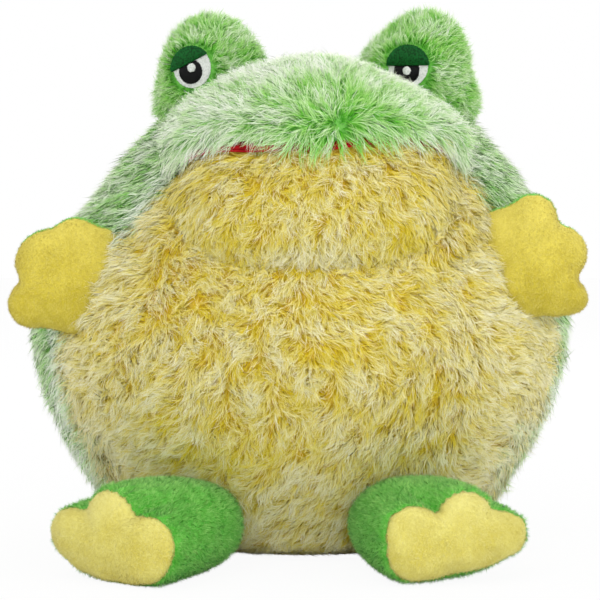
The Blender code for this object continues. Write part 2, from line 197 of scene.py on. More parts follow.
# Long pile: golden with cream tips, or green with pale tips. A tone near 1 is the palest.
pileLooks = {
    "yellow": {
        "root": (
            (0.0, srgb(222, 184, 4)), (0.6, srgb(224, 196, 44)),
            (0.92, srgb(220, 206, 104)), (1.0, srgb(158, 192, 112)),
        ),
        "middle": (
            (0.0, srgb(230, 202, 26)), (0.45, srgb(238, 222, 106)),
            (0.92, srgb(240, 233, 168)), (1.0, srgb(196, 218, 154)),
        ),
        "tip": (
            (0.0, srgb(244, 230, 86)), (0.35, srgb(254, 250, 190)),
            (0.92, srgb(255, 254, 236)), (1.0, srgb(238, 247, 220)),
        ),
        "middleFrom": (0.05, 0.5), "tipFrom": (0.44, 0.96),
    },
    "green": {
        "root": ((0.0, srgb(44, 140, 14)), (0.5, srgb(80, 168, 48)), (1.0, srgb(164, 210, 136))),
        "middle": ((0.0, srgb(98, 190, 52)), (0.5, srgb(160, 216, 116)), (1.0, srgb(230, 244, 214))),
        "tip": ((0.0, srgb(180, 232, 122)), (0.5, srgb(238, 251, 214)), (1.0, srgb(255, 255, 250))),
        "middleFrom": (0.05, 0.5), "tipFrom": (0.45, 0.96),
    },
}


def longPile(name, look):
    fabric = Fabric(name)
    along, tone = fabric.onBlade()
    root, middle, tip = (fabric.ramp(tone, look[key]) for key in ("root", "middle", "tip"))
    lower = fabric.mixed(fabric.level(along, *look["middleFrom"]), root, middle)
    colour = fabric.mixed(fabric.level(along, *look["tipFrom"]), lower, tip)
    return fabric.finish({"Base Color": colour, "Roughness": 0.6, "Specular IOR Level": 0.08})


# Short brushed pile: the cloth, with painted light making it paler towards the top heights, and the fibres
# that stand on it.
# Each look's top gives the heights over which painted light turns the cloth to its pale colour.
shortLooks = {
    "palm": {
        "deep": srgb(184, 166, 46), "mid": srgb(204, 187, 68), "pale": srgb(231, 218, 114),
        "top": (0.165, 0.228), "fibreDeep": srgb(188, 170, 54), "fibrePale": srgb(234, 222, 120),
    },
    "sole": {
        "deep": srgb(200, 187, 82), "mid": srgb(212, 202, 106), "pale": srgb(234, 228, 150),
        "top": (0.022, 0.066), "fibreDeep": srgb(208, 195, 92), "fibrePale": srgb(238, 232, 156),
    },
    "green": {
        "deep": srgb(60, 150, 36), "mid": srgb(88, 180, 60), "pale": srgb(150, 218, 114),
        "top": (0.040, 0.085), "fibreDeep": srgb(70, 160, 42), "fibrePale": srgb(164, 226, 120),
    },
}


brushedCloth = {
    "patch": (0.013, 3.0), "patchEnds": (0.3, 0.7), "paintedTopLightShare": 0.5, "fibre": 0.0009,
    "fibreEnds": (0.42, 0.72), "fibreShare": 0.35, "lump": 0.0035, "lumpShare": 0.6,
    "bump": (0.0007, 0.55), "fibreTones": (0.45, 0.6, 0.1),  # along the fibre, by its tone, and least
}


def shortPile(name, look):
    fabric, form = Fabric(name), brushedCloth
    height = fabric.level(fabric.part(fabric.place(), 2), *look["top"])
    brushed = fabric.level(fabric.noise(*form["patch"]), *form["patchEnds"])
    fibres = fabric.noise(form["fibre"])
    paler = fabric.level(fibres, *form["fibreEnds"]) * form["fibreShare"]
    plain = fabric.mixed(brushed, look["deep"], look["mid"])
    # Painted light: the cloth is mixed towards its pale colour higher up, as if lit from above.
    base = fabric.mixed(height * form["paintedTopLightShare"], plain, look["pale"])
    lumps = fibres + fabric.noise(form["lump"]) * form["lumpShare"]
    return fabric.finish({
        "Base Color": fabric.mixed(paler, base, look["pale"]),
        "Roughness": 0.9,
        "Specular IOR Level": 0.15,
        "Sheen Weight": 0.12,
        "Sheen Roughness": 0.5,
        "Normal": fabric.bump(lumps, *form["bump"]),
    })


def shortFibre(name, look):
    fabric = Fabric(name)
    along, tone = fabric.onBlade()
    byLength, byTone, least = brushedCloth["fibreTones"]
    paleness = fabric.level(along * byLength + tone * byTone, least, 1.0)
    return fabric.finish({
        "Base Color": fabric.mixed(paleness, look["fibreDeep"], look["fibrePale"]),
        "Roughness": 0.8,
        "Specular IOR Level": 0.15,
        "Sheen Weight": 0.1,
    })


# Plain cloths: patches of two colours, and dents from a finer noise.
clothLooks = {
    "backing": {"patch": (0.004, 3.0), "ends": (0.35, 0.65), "dent": (0.0016, 2.0), "bump": (0.001, 0.8)},
    "thread": {"patch": (0.0011, 2.0), "ends": (0.3, 0.7), "dent": (0.0003, 1.0), "bump": (0.0002, 0.5)},
    "velvet": {"patch": (0.0045, 3.0), "ends": (0.35, 0.65), "dent": (0.0008, 2.0), "bump": (0.0006, 0.6)},
}


def cloth(name, kind, dark, pale, roughness, specular=0.2):
    fabric, look = Fabric(name), clothLooks[kind]
    patches = fabric.level(fabric.noise(*look["patch"]), *look["ends"])
    return fabric.finish({
        "Base Color": fabric.mixed(patches, dark, pale),
        "Roughness": roughness,
        "Specular IOR Level": specular,
        "Normal": fabric.bump(fabric.noise(*look["dent"]), *look["bump"]),
    })


longPiles = {key: longPile(key + "LongPile", look) for key, look in pileLooks.items()}
shortPiles = {key: shortPile(key + "ShortPile", look) for key, look in shortLooks.items()}
fibres = {key: shortFibre(key + "Fuzz", look) for key, look in shortLooks.items()}
backings = {
    "yellow": cloth("yellowBacking", "backing", srgb(208, 170, 30), srgb(220, 188, 62), 0.95, 0.5),
    "green": cloth("greenBacking", "backing", srgb(84, 160, 52), srgb(116, 188, 84), 0.95, 0.5),
}
threads = {
    "white": cloth("whiteThread", "thread", srgb(206, 210, 204), srgb(236, 238, 234), 0.6),
    "black": cloth("blackThread", "thread", srgb(4, 4, 5), srgb(12, 12, 13), 0.55),
    "dark_green": cloth("lidThread", "thread", srgb(4, 58, 20), srgb(20, 100, 42), 0.6),
}
redVelvet = cloth("redVelvet", "velvet", srgb(128, 10, 16), srgb(168, 22, 28), 0.9)
print("materials made")


# The forms that the solids have, drawn in as far as the pile stands out from its backing.
ball = {
    "keys": (
        (0.085, 0.000), (0.118, 0.012), (0.144, 0.045), (0.168, 0.092), (0.178, 0.138),
        (0.170, 0.182), (0.148, 0.224), (0.115, 0.266), (0.075, 0.298), (0.000, 0.315),
    ),
    "depthShare": 0.93,
    "lean": (0.0095, 0.165, 0.245),  # how far the top leans to +X, and between which heights
    "spans": 10, "slices": 180, "backing": 0.0085,
    "seat": 0.04, "seatDrop": (0.0060, 0.008, 0.035),  # how far the underside is let down, and where
    "seamLow": (0.0, -0.036, 0.030), "seamHigh": (0.0, -0.100, 0.240), "seamTurn": math.radians(5),
}
lowerLip = {
    "centre": (0.008, -0.090, 0.224), "half": (0.092, 0.078, 0.048), "down": 0.060, "square": 2.5,
    "tip": 0.05,  # how much it tips up towards +X
}
upperLip = {
    "centre": (0.010, -0.098, 0.262), "half": (0.098, 0.066, 0.056), "down": 0.038, "square": 1.65,
    "tip": 0.0,
}
mounds = {
    "left": {
        "centre": (0.076, -0.020, 0.300), "eyeTurn": math.radians(-13), "eyeUp": 0.0092,
        "spread": (0.009, 0.006), "lean": 0.12,  # the spread is outward and inward
    },
    "right": {
        "centre": (-0.0575, -0.020, 0.298), "eyeTurn": math.radians(-20), "eyeUp": 0.0105,
        "spread": (0.005, 0.003), "lean": 0.0,
    },
}
moundForm = {"half": (0.036, 0.036, 0.049), "down": 0.046, "square": 2.1, "tip": 0.0}
moundBacking = 0.0065
lipBacking = 0.0080


def ballLine():
    keys = np.array(ball["keys"])
    ends = np.vstack([keys[0], keys, keys[-2] * (-1, 1)])
    line = []
    for i in range(1, len(ends) - 2):
        b, s, e, a = ends[i - 1 : i + 3]
        t = np.arange(ball["spans"])[:, None] / ball["spans"]
        square = (2 * b - 5 * s + 4 * e - a) * t**2
        line.append(s + ((e - b) * t + square + (3 * s - b - 3 * e + a) * t**3) / 2)
    line.append(keys[-1:])
    return np.vstack(line)


def movedLine(line, grow):
    run = unit(np.gradient(line, axis=0))
    moved = line + grow * np.stack([run[:, 1], -run[:, 0]], 1)
    moved[:, 0] = np.maximum(moved[:, 0], 0)
    moved[-1] = (0.0, line[-1, 1] + grow)
    return moved


ballOutline = ballLine()


def leanAt(height):
    far, low, high = ball["lean"]
    return far * ease(height, low, high)


def insideBall(places, grow):
    line = movedLine(ballOutline, grow)
    radius = np.interp(places[:, 2], line[:, 1], line[:, 0], left=0, right=0)
    return np.hypot(places[:, 0] - leanAt(places[:, 2]), places[:, 1] / ball["depthShare"]) < radius


def swollenSum(places, form, grow):
    half = np.array(form["half"]) + grow
    apart = places - np.array(form["centre"])
    apart[:, 2] -= form["tip"] * apart[:, 0]
    tall = np.where(apart[:, 2] > 0, half[2], form["down"] + grow)
    share = together(apart[:, 0] / half[0], apart[:, 1] / half[1], apart[:, 2] / tall)
    return np.sum(np.abs(share) ** form["square"], axis=1)


def insideSwollen(places, form, grow):
    return swollenSum(places, form, grow) < 1


def swollen(directions, form, grow):
    square = form["square"]
    reach = np.sum(np.abs(directions) ** square, axis=1, keepdims=True) ** (-1 / square)
    half = np.array(form["half"]) + grow
    tall = np.where(directions[:, 2] > 0, half[2], form["down"] + grow)
    out = directions * reach * together(half[0], half[1], tall)
    out[:, 2] += form["tip"] * out[:, 0]
    return np.array(form["centre"]) + out


def moundShape(side):
    return {**moundForm, "centre": mounds[side]["centre"]}


# Mesh helpers.
def readPoints(mesh, kind="co"):
    found = np.empty(len(mesh.vertices) * 3, np.float32)
    mesh.vertices.foreach_get(kind, found)
    return found.reshape(-1, 3).astype(float)


def writePoints(mesh, points):
    mesh.vertices.foreach_set("co", points.astype(np.float32).ravel())
    mesh.update()


def onlyThis(obj):
    bpy.ops.object.select_all(action="DESELECT")
    obj.select_set(True)
    bpy.context.view_layer.objects.active = obj


def addObject(name, data):
    obj = bpy.data.objects.new(name, data)
    bpy.context.scene.collection.objects.link(obj)
    return obj


def addMesh(mesh, *materials):
    for material in materials:
        mesh.materials.append(material)
    mesh.shade_smooth()
    return addObject(mesh.name, mesh)


def newMesh(name, points, faces, *materials):
    mesh = bpy.data.meshes.new(name)
    mesh.from_pydata([tuple(p) for p in points], [], faces)
    return addMesh(mesh, *materials)


def meshCopy(obj):
    bm = bmesh.new()
    bm.from_mesh(obj.data)
    return bm


def shapedFrom(bm, name, material):
    mesh = bpy.data.meshes.new(name)
    bm.to_mesh(mesh)
    bm.free()
    return addMesh(mesh, material)


def roundSkin(name, steps, material):
    bpy.ops.object.select_all(action="DESELECT")
    bpy.ops.mesh.primitive_ico_sphere_add(subdivisions=steps, radius=1)
    obj = bpy.context.object
    obj.name = name
    obj.data.name = name
    obj.data.materials.append(material)
    obj.data.shade_smooth()
    return obj


def gridFaces(rings, slices):
    faces = [(0, 1 + (j + 1) % slices, 1 + j) for j in range(slices)]
    for i in range(rings - 1):
        low = 1 + i * slices
        for j in range(slices):
            k = (j + 1) % slices
            faces.append((low + j, low + k, low + slices + k, low + slices + j))
    last = 1 + rings * slices
    low = last - slices
    faces += [(low + j, low + (j + 1) % slices, last) for j in range(slices)]
    return faces


def poledGrid(points):
    rings, slices = points.shape[:2]
    flat = np.vstack([points[:1, 0], points[1:-1].reshape(-1, 3), points[-1:, 0]])
    return flat, gridFaces(rings - 2, slices)


def faceOut(obj):
    bm = meshCopy(obj)
    if bm.calc_volume(signed=True) < 0:
        bmesh.ops.reverse_faces(bm, faces=bm.faces)
    bm.to_mesh(obj.data)
    bm.free()


# Pile: tufts of flat tapering blades that grow from a skin, lean the way the fabric is combed
# and draw together at their tips. The map runs along the blade and across the tones.
bladeRings = {1: (0.0,), 2: (0.0, 0.5), 3: (0.0, 0.34, 0.68)}
tuft = {
    "reach": (0.70, 1.18), "lift": (1.0, 0.16), "liftEnds": (0.6, 1.3), "spread": 0.62, "sunk": 0.0006,
    "curlSize": 0.012, "curlWave": 0.8, "curlOwn": 0.45, "floor": 0.0005,
    "tones": (0.01, 0.90, 0.985), "greenish": 0.80,  # only a base above this reaches the last tone
}
blade = {
    "reach": (0.6, 1.12), "lift": (0.62, 1.08), "curl": 0.6, "knee": 0.16, "kneeCurl": 1.3,
    "width": (0.75, 1.2), "taper": 0.55, "rootWidth": 0.8, "likeSkin": 0.85, "toneWide": 0.006,
    "mapMargin": 0.004,
}


def scatter(mesh, spacing, rng, allowed):
    points, normals = readPoints(mesh), readPoints(mesh, "normal")
    mesh.calc_loop_triangles()
    tris = np.empty(len(mesh.loop_triangles) * 3, np.int32)
    mesh.loop_triangles.foreach_get("vertices", tris)
    tris = tris.reshape(-1, 3)
    a, b, c = (points[tris[:, k]] for k in range(3))
    total = np.cumsum(np.linalg.norm(np.cross(b - a, c - a), axis=1) / 2)
    count = int(total[-1] / spacing**2)
    pick = np.searchsorted(total, (np.arange(count) + rng.random(count)) / count * total[-1])
    pick = np.minimum(pick, len(tris) - 1)
    u, v = rng.random((2, count, 1))
    u, v = np.where(u + v > 1, 1 - u, u), np.where(u + v > 1, 1 - v, v)
    spot = a[pick] + u * (b - a)[pick] + v * (c - a)[pick]
    na, nb, nc = (normals[tris[pick, k]] for k in range(3))
    facing = unit(na * (1 - u - v) + nb * u + nc * v)
    kept = allowed(spot - toyShift)
    return spot[kept], facing[kept]


def growPile(name, skin, material, look, lie, tone, allowed, seed, parts=1):
    rng = np.random.default_rng(seed)
    spot, facing = scatter(skin.data, look["spacing"], rng, allowed)
    toy = spot - toyShift
    tufts = len(spot)
    lean = flatTo(facing, lie(toy) + rng.normal(size=spot.shape) * look["tousle"])
    high = look["high"](toy) if callable(look["high"]) else np.full(tufts, look["high"])
    base = tone(toy)
    tuftTone = base + rng.normal(size=tufts) * look["tuftTone"]
    tuftReach = rng.uniform(*tuft["reach"], tufts)
    tuftLift = np.clip(rng.normal(*tuft["lift"], tufts), *tuft["liftEnds"])
    drift = tuft["curlWave"] * waves(toy, tuft["curlSize"], seed + 7)
    tuftCurl = (drift + tuft["curlOwn"] * rng.normal(size=tufts)) * look["curl"]

    which = np.repeat(np.arange(tufts), look["blades"])
    blades = len(which)
    n, d = facing[which], lean[which]
    s = np.cross(n, d)
    r = look["spacing"] * tuft["spread"] * np.sqrt(rng.random(blades))[:, None]
    turn = rng.uniform(0, 2 * math.pi, blades)[:, None]
    away = (d * np.cos(turn) + s * np.sin(turn)) * r
    root = spot[which] + away - n * tuft["sunk"]
    reach = (tuftReach[which] * rng.uniform(*blade["reach"], blades))[:, None]
    up = (high[which] * tuftLift[which] * rng.uniform(*blade["lift"], blades))[:, None]
    curl = tuftCurl[which, None] + rng.normal(size=r.shape) * look["curl"] * blade["curl"]
    long = look["long"](toy)[which, None] if "long" in look else 1.0
    along = look["lean"] * reach * long
    tip = spot[which] + away * (1 - look["gather"]) + n * up + d * along - s * curl
    tip += rng.normal(size=tip.shape) * look["stray"]
    aside = blade["kneeCurl"] * curl + rng.normal(size=r.shape) * look["stray"]
    knee = root + n * up * look["stiff"] + d * along * blade["knee"] + s * aside
    width = look["width"] * rng.uniform(*blade["width"], blades)[:, None]
    spin = rng.normal(0, look["spin"], blades)[:, None]

    rings = bladeRings[look["rings"]]
    lines = []
    for share in rings:
        middle = root * (1 - share) ** 2 + knee * 2 * share * (1 - share) + tip * share**2
        run = unit((knee - root) * (1 - share) + (tip - knee) * share)
        flat = unit(np.cross(run, n) + 1e-6)
        across = flat * np.cos(spin) + np.cross(run, flat) * np.sin(spin)
        half = width / 2 * (1 - share) ** blade["taper"] * (blade["rootWidth"] if share == 0 else 1)
        lines += [middle - across * half, middle + across * half]
    lines.append(tip)
    points = np.stack(lines, 1)
    points[:, :, 2] = np.maximum(points[:, :, 2], tuft["floor"])
    lowest, highest, palest = tuft["tones"]
    shade = tuftTone[which] + rng.normal(size=blades) * look["bladeTone"]
    shade = np.clip(shade, lowest, np.where(base > tuft["greenish"], palest, highest)[which])
    order = np.argsort(np.arctan2(toy[which, 0], -toy[which, 1]), kind="stable")
    made = []
    for index, share in enumerate(np.array_split(order, parts)):
        title = name if parts == 1 else f"{name}{index + 1}"
        upward = np.repeat(n[share], len(lines), 0)
        made.append(makeBlades(title, points[share].reshape(-1, 3), upward, rings, shade[share], material))
    print(name, blades, "blades")
    return made


def makeBlades(name, points, facing, rings, shade, material):
    each = 2 * len(rings) + 1
    blades = len(points) // each
    quads = len(rings) - 1
    corners = []
    marks = []
    for i in range(quads):
        low, high = rings[i], rings[i + 1]
        corners += [2 * i, 2 * i + 1, 2 * i + 3, 2 * i + 2]
        marks += [(low, 0), (low, 1), (high, 1), (high, 0)]
    corners += [each - 3, each - 2, each - 1]
    marks = np.array([*marks, (rings[-1], 0), (rings[-1], 1), (1.0, 0.5)])
    first = np.arange(blades)[:, None] * each
    loops = (first + np.array(corners)[None, :]).ravel()
    sizes = np.tile(np.array([4] * quads + [3]), blades)
    starts = np.concatenate([[0], np.cumsum(sizes)[:-1]])
    mesh = bpy.data.meshes.new(name)
    mesh.vertices.add(len(points))
    mesh.vertices.foreach_set("co", points.astype(np.float32).ravel())
    mesh.loops.add(len(loops))
    mesh.loops.foreach_set("vertex_index", loops.astype(np.int32))
    mesh.polygons.add(len(sizes))
    mesh.polygons.foreach_set("loop_start", starts.astype(np.int32))
    mesh.update(calc_edges=True)
    mesh.validate()
    layer = mesh.uv_layers.new(name="OFBake")
    uv = np.empty((blades, len(marks), 2), np.float32)
    uv[:, :, 0] = blade["mapMargin"] + marks[None, :, 0] * (1 - 2 * blade["mapMargin"])
    uv[:, :, 1] = shade[:, None] + (marks[None, :, 1] - 0.5) * blade["toneWide"]
    layer.uv.foreach_set("vector", uv.ravel())
    obj = addMesh(mesh, material)
    own = readPoints(mesh, "normal")
    own *= np.sign(np.sum(own * facing, axis=1, keepdims=True) + 1e-9)
    soft = unit(facing * blade["likeSkin"] + own * (1 - blade["likeSkin"]))
    mesh.normals_split_custom_set_from_vertices([tuple(v) for v in soft])
    return obj


# Body: one ball of backing, cut along the seam between the yellow belly and the green back.
chinFillet = {
    "wide": 0.30, "high": 0.0065, "frontOf": -0.04, "middleShare": 0.10, "ends": (0.046, 0.078),
    "middle": lowerLip["centre"][0] - 0.006,
}


def chinShare(points):
    return swollenSum(points, lowerLip, -lipBacking) ** (1 / lowerLip["square"])


def fromChin(points):
    return np.abs(points[:, 0] - chinFillet["middle"])


def besideChin(points):
    near = 1 - ease(chinShare(points), 1.0, 1.0 + chinFillet["wide"])
    near = near * (points[:, 1] < chinFillet["frontOf"])
    least = chinFillet["middleShare"]
    near = near * (least + (1 - least) * ease(fromChin(points), *chinFillet["ends"]))
    outward = unit(points - together(leanAt(points[:, 2]), 0, ball["lean"][1]))
    return outward * (chinFillet["high"] * near)[:, None]


def makeBall():
    line = movedLine(ballOutline, -ball["backing"])
    drop, low, high = ball["seatDrop"]
    line[:, 1] -= drop * (1 - ease(line[:, 1], low, high))
    line = np.vstack([[(ball["seat"], line[0, 1])], line])
    angle = turnsOf(ball["slices"])
    rings = [
        together(radius * np.cos(angle), radius * ball["depthShare"] * np.sin(angle), height)
        for radius, height in line[:-1]
    ]
    points = np.vstack([[(0, 0, line[0, 1])], *rings, [(0, 0, line[-1, 1])]])
    points[:, 0] += leanAt(points[:, 2])
    points += besideChin(points) + toyShift
    return newMesh("ballSkin", points, gridFaces(len(line) - 1, ball["slices"]), backings["yellow"])


seamMiddle = (np.array(ball["seamLow"]) + np.array(ball["seamHigh"])) / 2
seamRun = Vector(ball["seamHigh"]) - Vector(ball["seamLow"])
seamUpright = Vector((0, -seamRun.z, seamRun.y)).normalized()
seamFacing = np.array(Matrix.Rotation(ball["seamTurn"], 3, "Z") @ seamUpright)


def aheadOfSeam(places):
    return (places - seamMiddle) @ seamFacing


def halfOf(whole, name, front, material):
    bm = meshCopy(whole)
    cut = bmesh.ops.bisect_plane(
        bm,
        geom=bm.verts[:] + bm.edges[:] + bm.faces[:],
        plane_co=Vector(seamMiddle + toyShift),
        plane_no=Vector(seamFacing) * (1 if front else -1),
        clear_inner=True,
    )
    edges = [e for e in cut["geom_cut"] if isinstance(e, bmesh.types.BMEdge)]
    bmesh.ops.holes_fill(bm, edges=edges, sides=0)
    bmesh.ops.recalc_face_normals(bm, faces=bm.faces)
    return shapedFrom(bm, name, material)


whole = makeBall()
bellySkin = halfOf(whole, "bellySkin", True, backings["yellow"])
backSkin = halfOf(whole, "backSkin", False, backings["green"])
bpy.data.objects.remove(whole)
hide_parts("belly_panel")
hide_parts("back_panel", "body_stuffing")
print("ball made")


# Lips: the lower one is a plain swollen pad, and the upper one rests on the mouth's lining.
mouthRoom = 0.0031
lipSeat = {  # where the lower lip is flattened under the lining: behind the edge, inside and above
    "behind": (0.000, 0.006), "inside": (0.080, 0.0845), "above": (0.240, 0.247), "gap": -0.0006,
}
upperUnder = {"square": 4, "lift": 0.002}


def lipPlan(x, y, grow):
    half = np.array(lowerLip["half"]) + grow
    across, deep, square = lowerLip["centre"][0], lowerLip["centre"][1], lowerLip["square"]
    return np.abs((x - across) / half[0]) ** square + np.abs((y - deep) / half[1]) ** square


def lowerLipTop(x, y, grow):
    rise = np.clip(1 - lipPlan(x, y, grow), 0, 1) ** (1 / lowerLip["square"])
    top = lowerLip["centre"][2] + (lowerLip["half"][2] + grow) * rise
    return top + lowerLip["tip"] * (x - lowerLip["centre"][0])


def mouthFront(x, inset):
    half = np.array(upperLip["half"]) - inset
    share = np.clip(1 - np.abs((x - upperLip["centre"][0]) / half[0]) ** upperLip["square"], 0, 1)
    return upperLip["centre"][1] - half[1] * share ** (1 / upperLip["square"])


def makeLowerLip():
    lower = roundSkin("lowerLipSkin", 6, backings["yellow"])
    points = swollen(readPoints(lower.data), lowerLip, -lipBacking)
    x, y, z = points.T
    seated = ease(y - mouthFront(x, lipBacking), *lipSeat["behind"])
    seated *= 1 - ease(np.abs(x - lowerLip["centre"][0]), *lipSeat["inside"])
    seated *= ease(z, *lipSeat["above"])
    points[:, 2] += seated * np.maximum(lowerLipTop(x, y, lipSeat["gap"]) - z, 0)
    writePoints(lower.data, points + toyShift)
    return lower


def makeUpperLip():
    upper = roundSkin("upperLipSkin", 6, backings["green"])
    directions = readPoints(upper.data)
    points = swollen(directions, upperLip, -lipBacking)
    under = directions[:, 2] < 0
    points[under] = fullUnder(directions[under])
    x, y, z = points.T
    top = np.maximum(z, lowerLipTop(x, y, mouthRoom))
    points[:, 2] = np.where(lipPlan(x, y, mouthRoom) < 1, top, z)
    writePoints(upper.data, points + toyShift)
    return upper


def fullUnder(directions):
    square, full = upperLip["square"], upperUnder["square"]
    flat = np.sum(np.abs(directions[:, :2]) ** square, axis=1) ** (1 / square)
    reach = (flat**full + np.abs(directions[:, 2]) ** full) ** (-1 / full)
    half = np.array(upperLip["half"]) - lipBacking
    half[2] = upperLip["down"] - upperUnder["lift"]
    return np.array(upperLip["centre"]) + directions * reach[:, None] * half


lowerLipSkin = makeLowerLip()
upperLipSkin = makeUpperLip()


# Eye mounds: pushed flat where the eye is sewn on, and spread where they meet the crown.
eyeLook = {"radius": 0.0128, "seat": 0.0320, "gap": 0.0002, "flat": (0.98, 0.0210)}
moundSpread = {
    "outer": (0.010, 0.030), "outerTop": 0.012, "outerFade": 0.030,
    "inner": (0.008, 0.026), "innerTop": 0.036, "innerFade": 0.020,
}


def eyeAxes(side):
    turn = mounds[side]["eyeTurn"]
    facing = np.array([math.sin(turn), -math.cos(turn), 0.0])
    across = np.array([math.cos(turn), math.sin(turn), 0.0])
    return np.array(mounds[side]["centre"]), facing, across


def fromEye(side, places):
    centre, facing, across = eyeAxes(side)
    apart = places - centre
    return np.hypot(apart @ across, apart[:, 2] - mounds[side]["eyeUp"]), apart @ facing


def makeMound(side):
    mound, form = mounds[side], moundSpread
    centre, facing, _ = eyeAxes(side)
    obj = roundSkin("moundSkin" + side.capitalize(), 5, backings["green"])
    points = swollen(readPoints(obj.data), moundShape(side), -moundBacking)
    points[:, 0] += mound["lean"] * np.maximum(points[:, 2] - centre[2], 0)
    off, ahead = fromEye(side, points)
    inner, outer = eyeLook["flat"]
    share = np.where(ahead > 0, 1 - ease(off, eyeLook["radius"] * inner, outer), 0)
    points += facing * ((eyeLook["seat"] - eyeLook["gap"] - ahead) * share)[:, None]
    outward = np.sign(centre[0])
    apart = outward * (points[:, 0] - centre[0])
    for way, end, far in ((1, "outer", mound["spread"][0]), (-1, "inner", mound["spread"][1])):
        low = ease(centre[2] + form[end + "Top"] - points[:, 2], 0.0, form[end + "Fade"])
        points[:, 0] += way * outward * far * ease(way * apart, *form[end]) * low
    writePoints(obj.data, points + toyShift)
    return obj


moundSkins = {side: makeMound(side) for side in mounds}
for side, obj in moundSkins.items():
    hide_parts(f"eye_mound_{side}", f"eye_mound_stuffing_{side}")
print("lips and mounds made")


# Limbs: where each lobe stands in its own plane (across, up, radius), as the solids have them.
hands = {
    "left": {
        "lobes": (
            (0.1440, 0.2135, 0.0182), (0.1580, 0.1905, 0.0238), (0.1690, 0.1640, 0.0130),
            (0.1580, 0.1670, 0.0172), (0.1270, 0.2000, 0.0228), (0.1400, 0.1740, 0.0248),
        ),
        "middle": (0.150, 0.188), "seed": 11,
    },
    "right": {
        "lobes": (
            (-0.1390, 0.1995, 0.0172), (-0.1550, 0.1845, 0.0248), (-0.1668, 0.1605, 0.0172),
            (-0.1515, 0.1610, 0.0188), (-0.1265, 0.1880, 0.0228), (-0.1385, 0.1640, 0.0248),
        ),
        "middle": (-0.149, 0.178), "seed": 12,
    },
}
handForm = {
    "halfThick": 0.0155, "y": -0.092, "fullness": 0.9, "backing": 0.0011, "slices": 168, "rings": 56,
    "rimTop": 0.15, "rimElse": -0.22, "topFrom": (0.1, 0.9),
    "seamReach": 0.032, "groove": 0.0010, "grooveWide": 0.0016,
    "tuck": 0.00045, "tuckLeast": 0.5, "tucks": 34, "tuckSway": (2, 5),
    "tuckWide": 0.0045, "notch": (40, 0.05),
    "dent": 0.0008, "dentSize": 0.030,
}
feet = {
    "left": {
        "side": 1, "sole": (0.092, -0.195), "turn": math.radians(20), "seed": 21,
        "lobes": (
            (-0.0250, 0.0320, 0.0193), (0.0110, 0.0380, 0.0211), (0.0400, 0.0290, 0.0156),
            (-0.0232, 0.0216, 0.0208), (0.0021, 0.0258, 0.0220), (0.0211, 0.0258, 0.0178),
        ),
    },
    "right": {
        "side": -1, "sole": (-0.117, -0.192), "turn": math.radians(38), "seed": 22,
        "lobes": (
            (-0.0327, 0.0269, 0.0185), (0.0026, 0.0385, 0.0216), (0.0374, 0.0278, 0.0180),
            (-0.0264, 0.0225, 0.0225), (-0.0063, 0.0240, 0.0240), (0.0127, 0.0230, 0.0230),
        ),
    },
}
footForm = {
    "middle": (0.000, 0.029), "ankle": (0.043, 0.032), "fade": 0.050, "length": 0.110, "square": 2.9,
    "toeDepth": 0.022, "soleDepth": 0.012, "sunk": 0.0008, "backing": 0.0011,
    "slices": 192, "soleRings": 22, "upperRings": 50,
    "evened": (-24, -12, 0, 12, 24), "evenFrom": (0.0, 0.6),  # degrees that even the foot's bottom
    "groove": 0.0012, "grooveWide": 0.0019, "seamClear": 0.0012, "notch": (0.002, 0.016),
    "gathers": 27, "gatherSway": (2.2, 3), "gather": (0.0011, 0.011), "soleGather": (0.0003, 0.004),
    "gatherShare": (0.45, 0.9), "smoothUnder": (0.9, 0.1, 0.5), "dent": 0.0011, "dentSize": 0.034,
}
lobeEvening = {"turn": math.radians(8), "steps": (-1, -0.5, 0, 0, 0.5, 1)}
limbFloor = 0.0004


def lobedReach(lobes, middle, angle):
    reach = np.zeros_like(angle)
    for x, z, radius in lobes:
        dx, dz = x - middle[0], z - middle[1]
        along = dx * np.cos(angle) + dz * np.sin(angle)
        inside = radius**2 - dx * dx - dz * dz + along**2
        reach = np.maximum(reach, np.where(inside > 0, along + np.sqrt(np.maximum(inside, 0)), 0))
    return reach


def softReach(lobes, middle, angle):
    turn, steps = lobeEvening["turn"], lobeEvening["steps"]
    return sum(lobedReach(lobes, middle, angle + step * turn) for step in steps) / len(steps)


def dentsOn(points, form, seed):
    return form["dent"] * waves(points.reshape(-1, 3), form["dentSize"], seed).reshape(points.shape[:2])


def footAxes(side):
    foot = feet[side]
    cosine, sine = math.cos(foot["turn"]), math.sin(foot["turn"])
    outward = np.array([foot["side"] * cosine, sine, 0.0])
    forward = np.array([foot["side"] * sine, -cosine, 0.0])
    return np.array([*foot["sole"], 0.0]), outward, forward


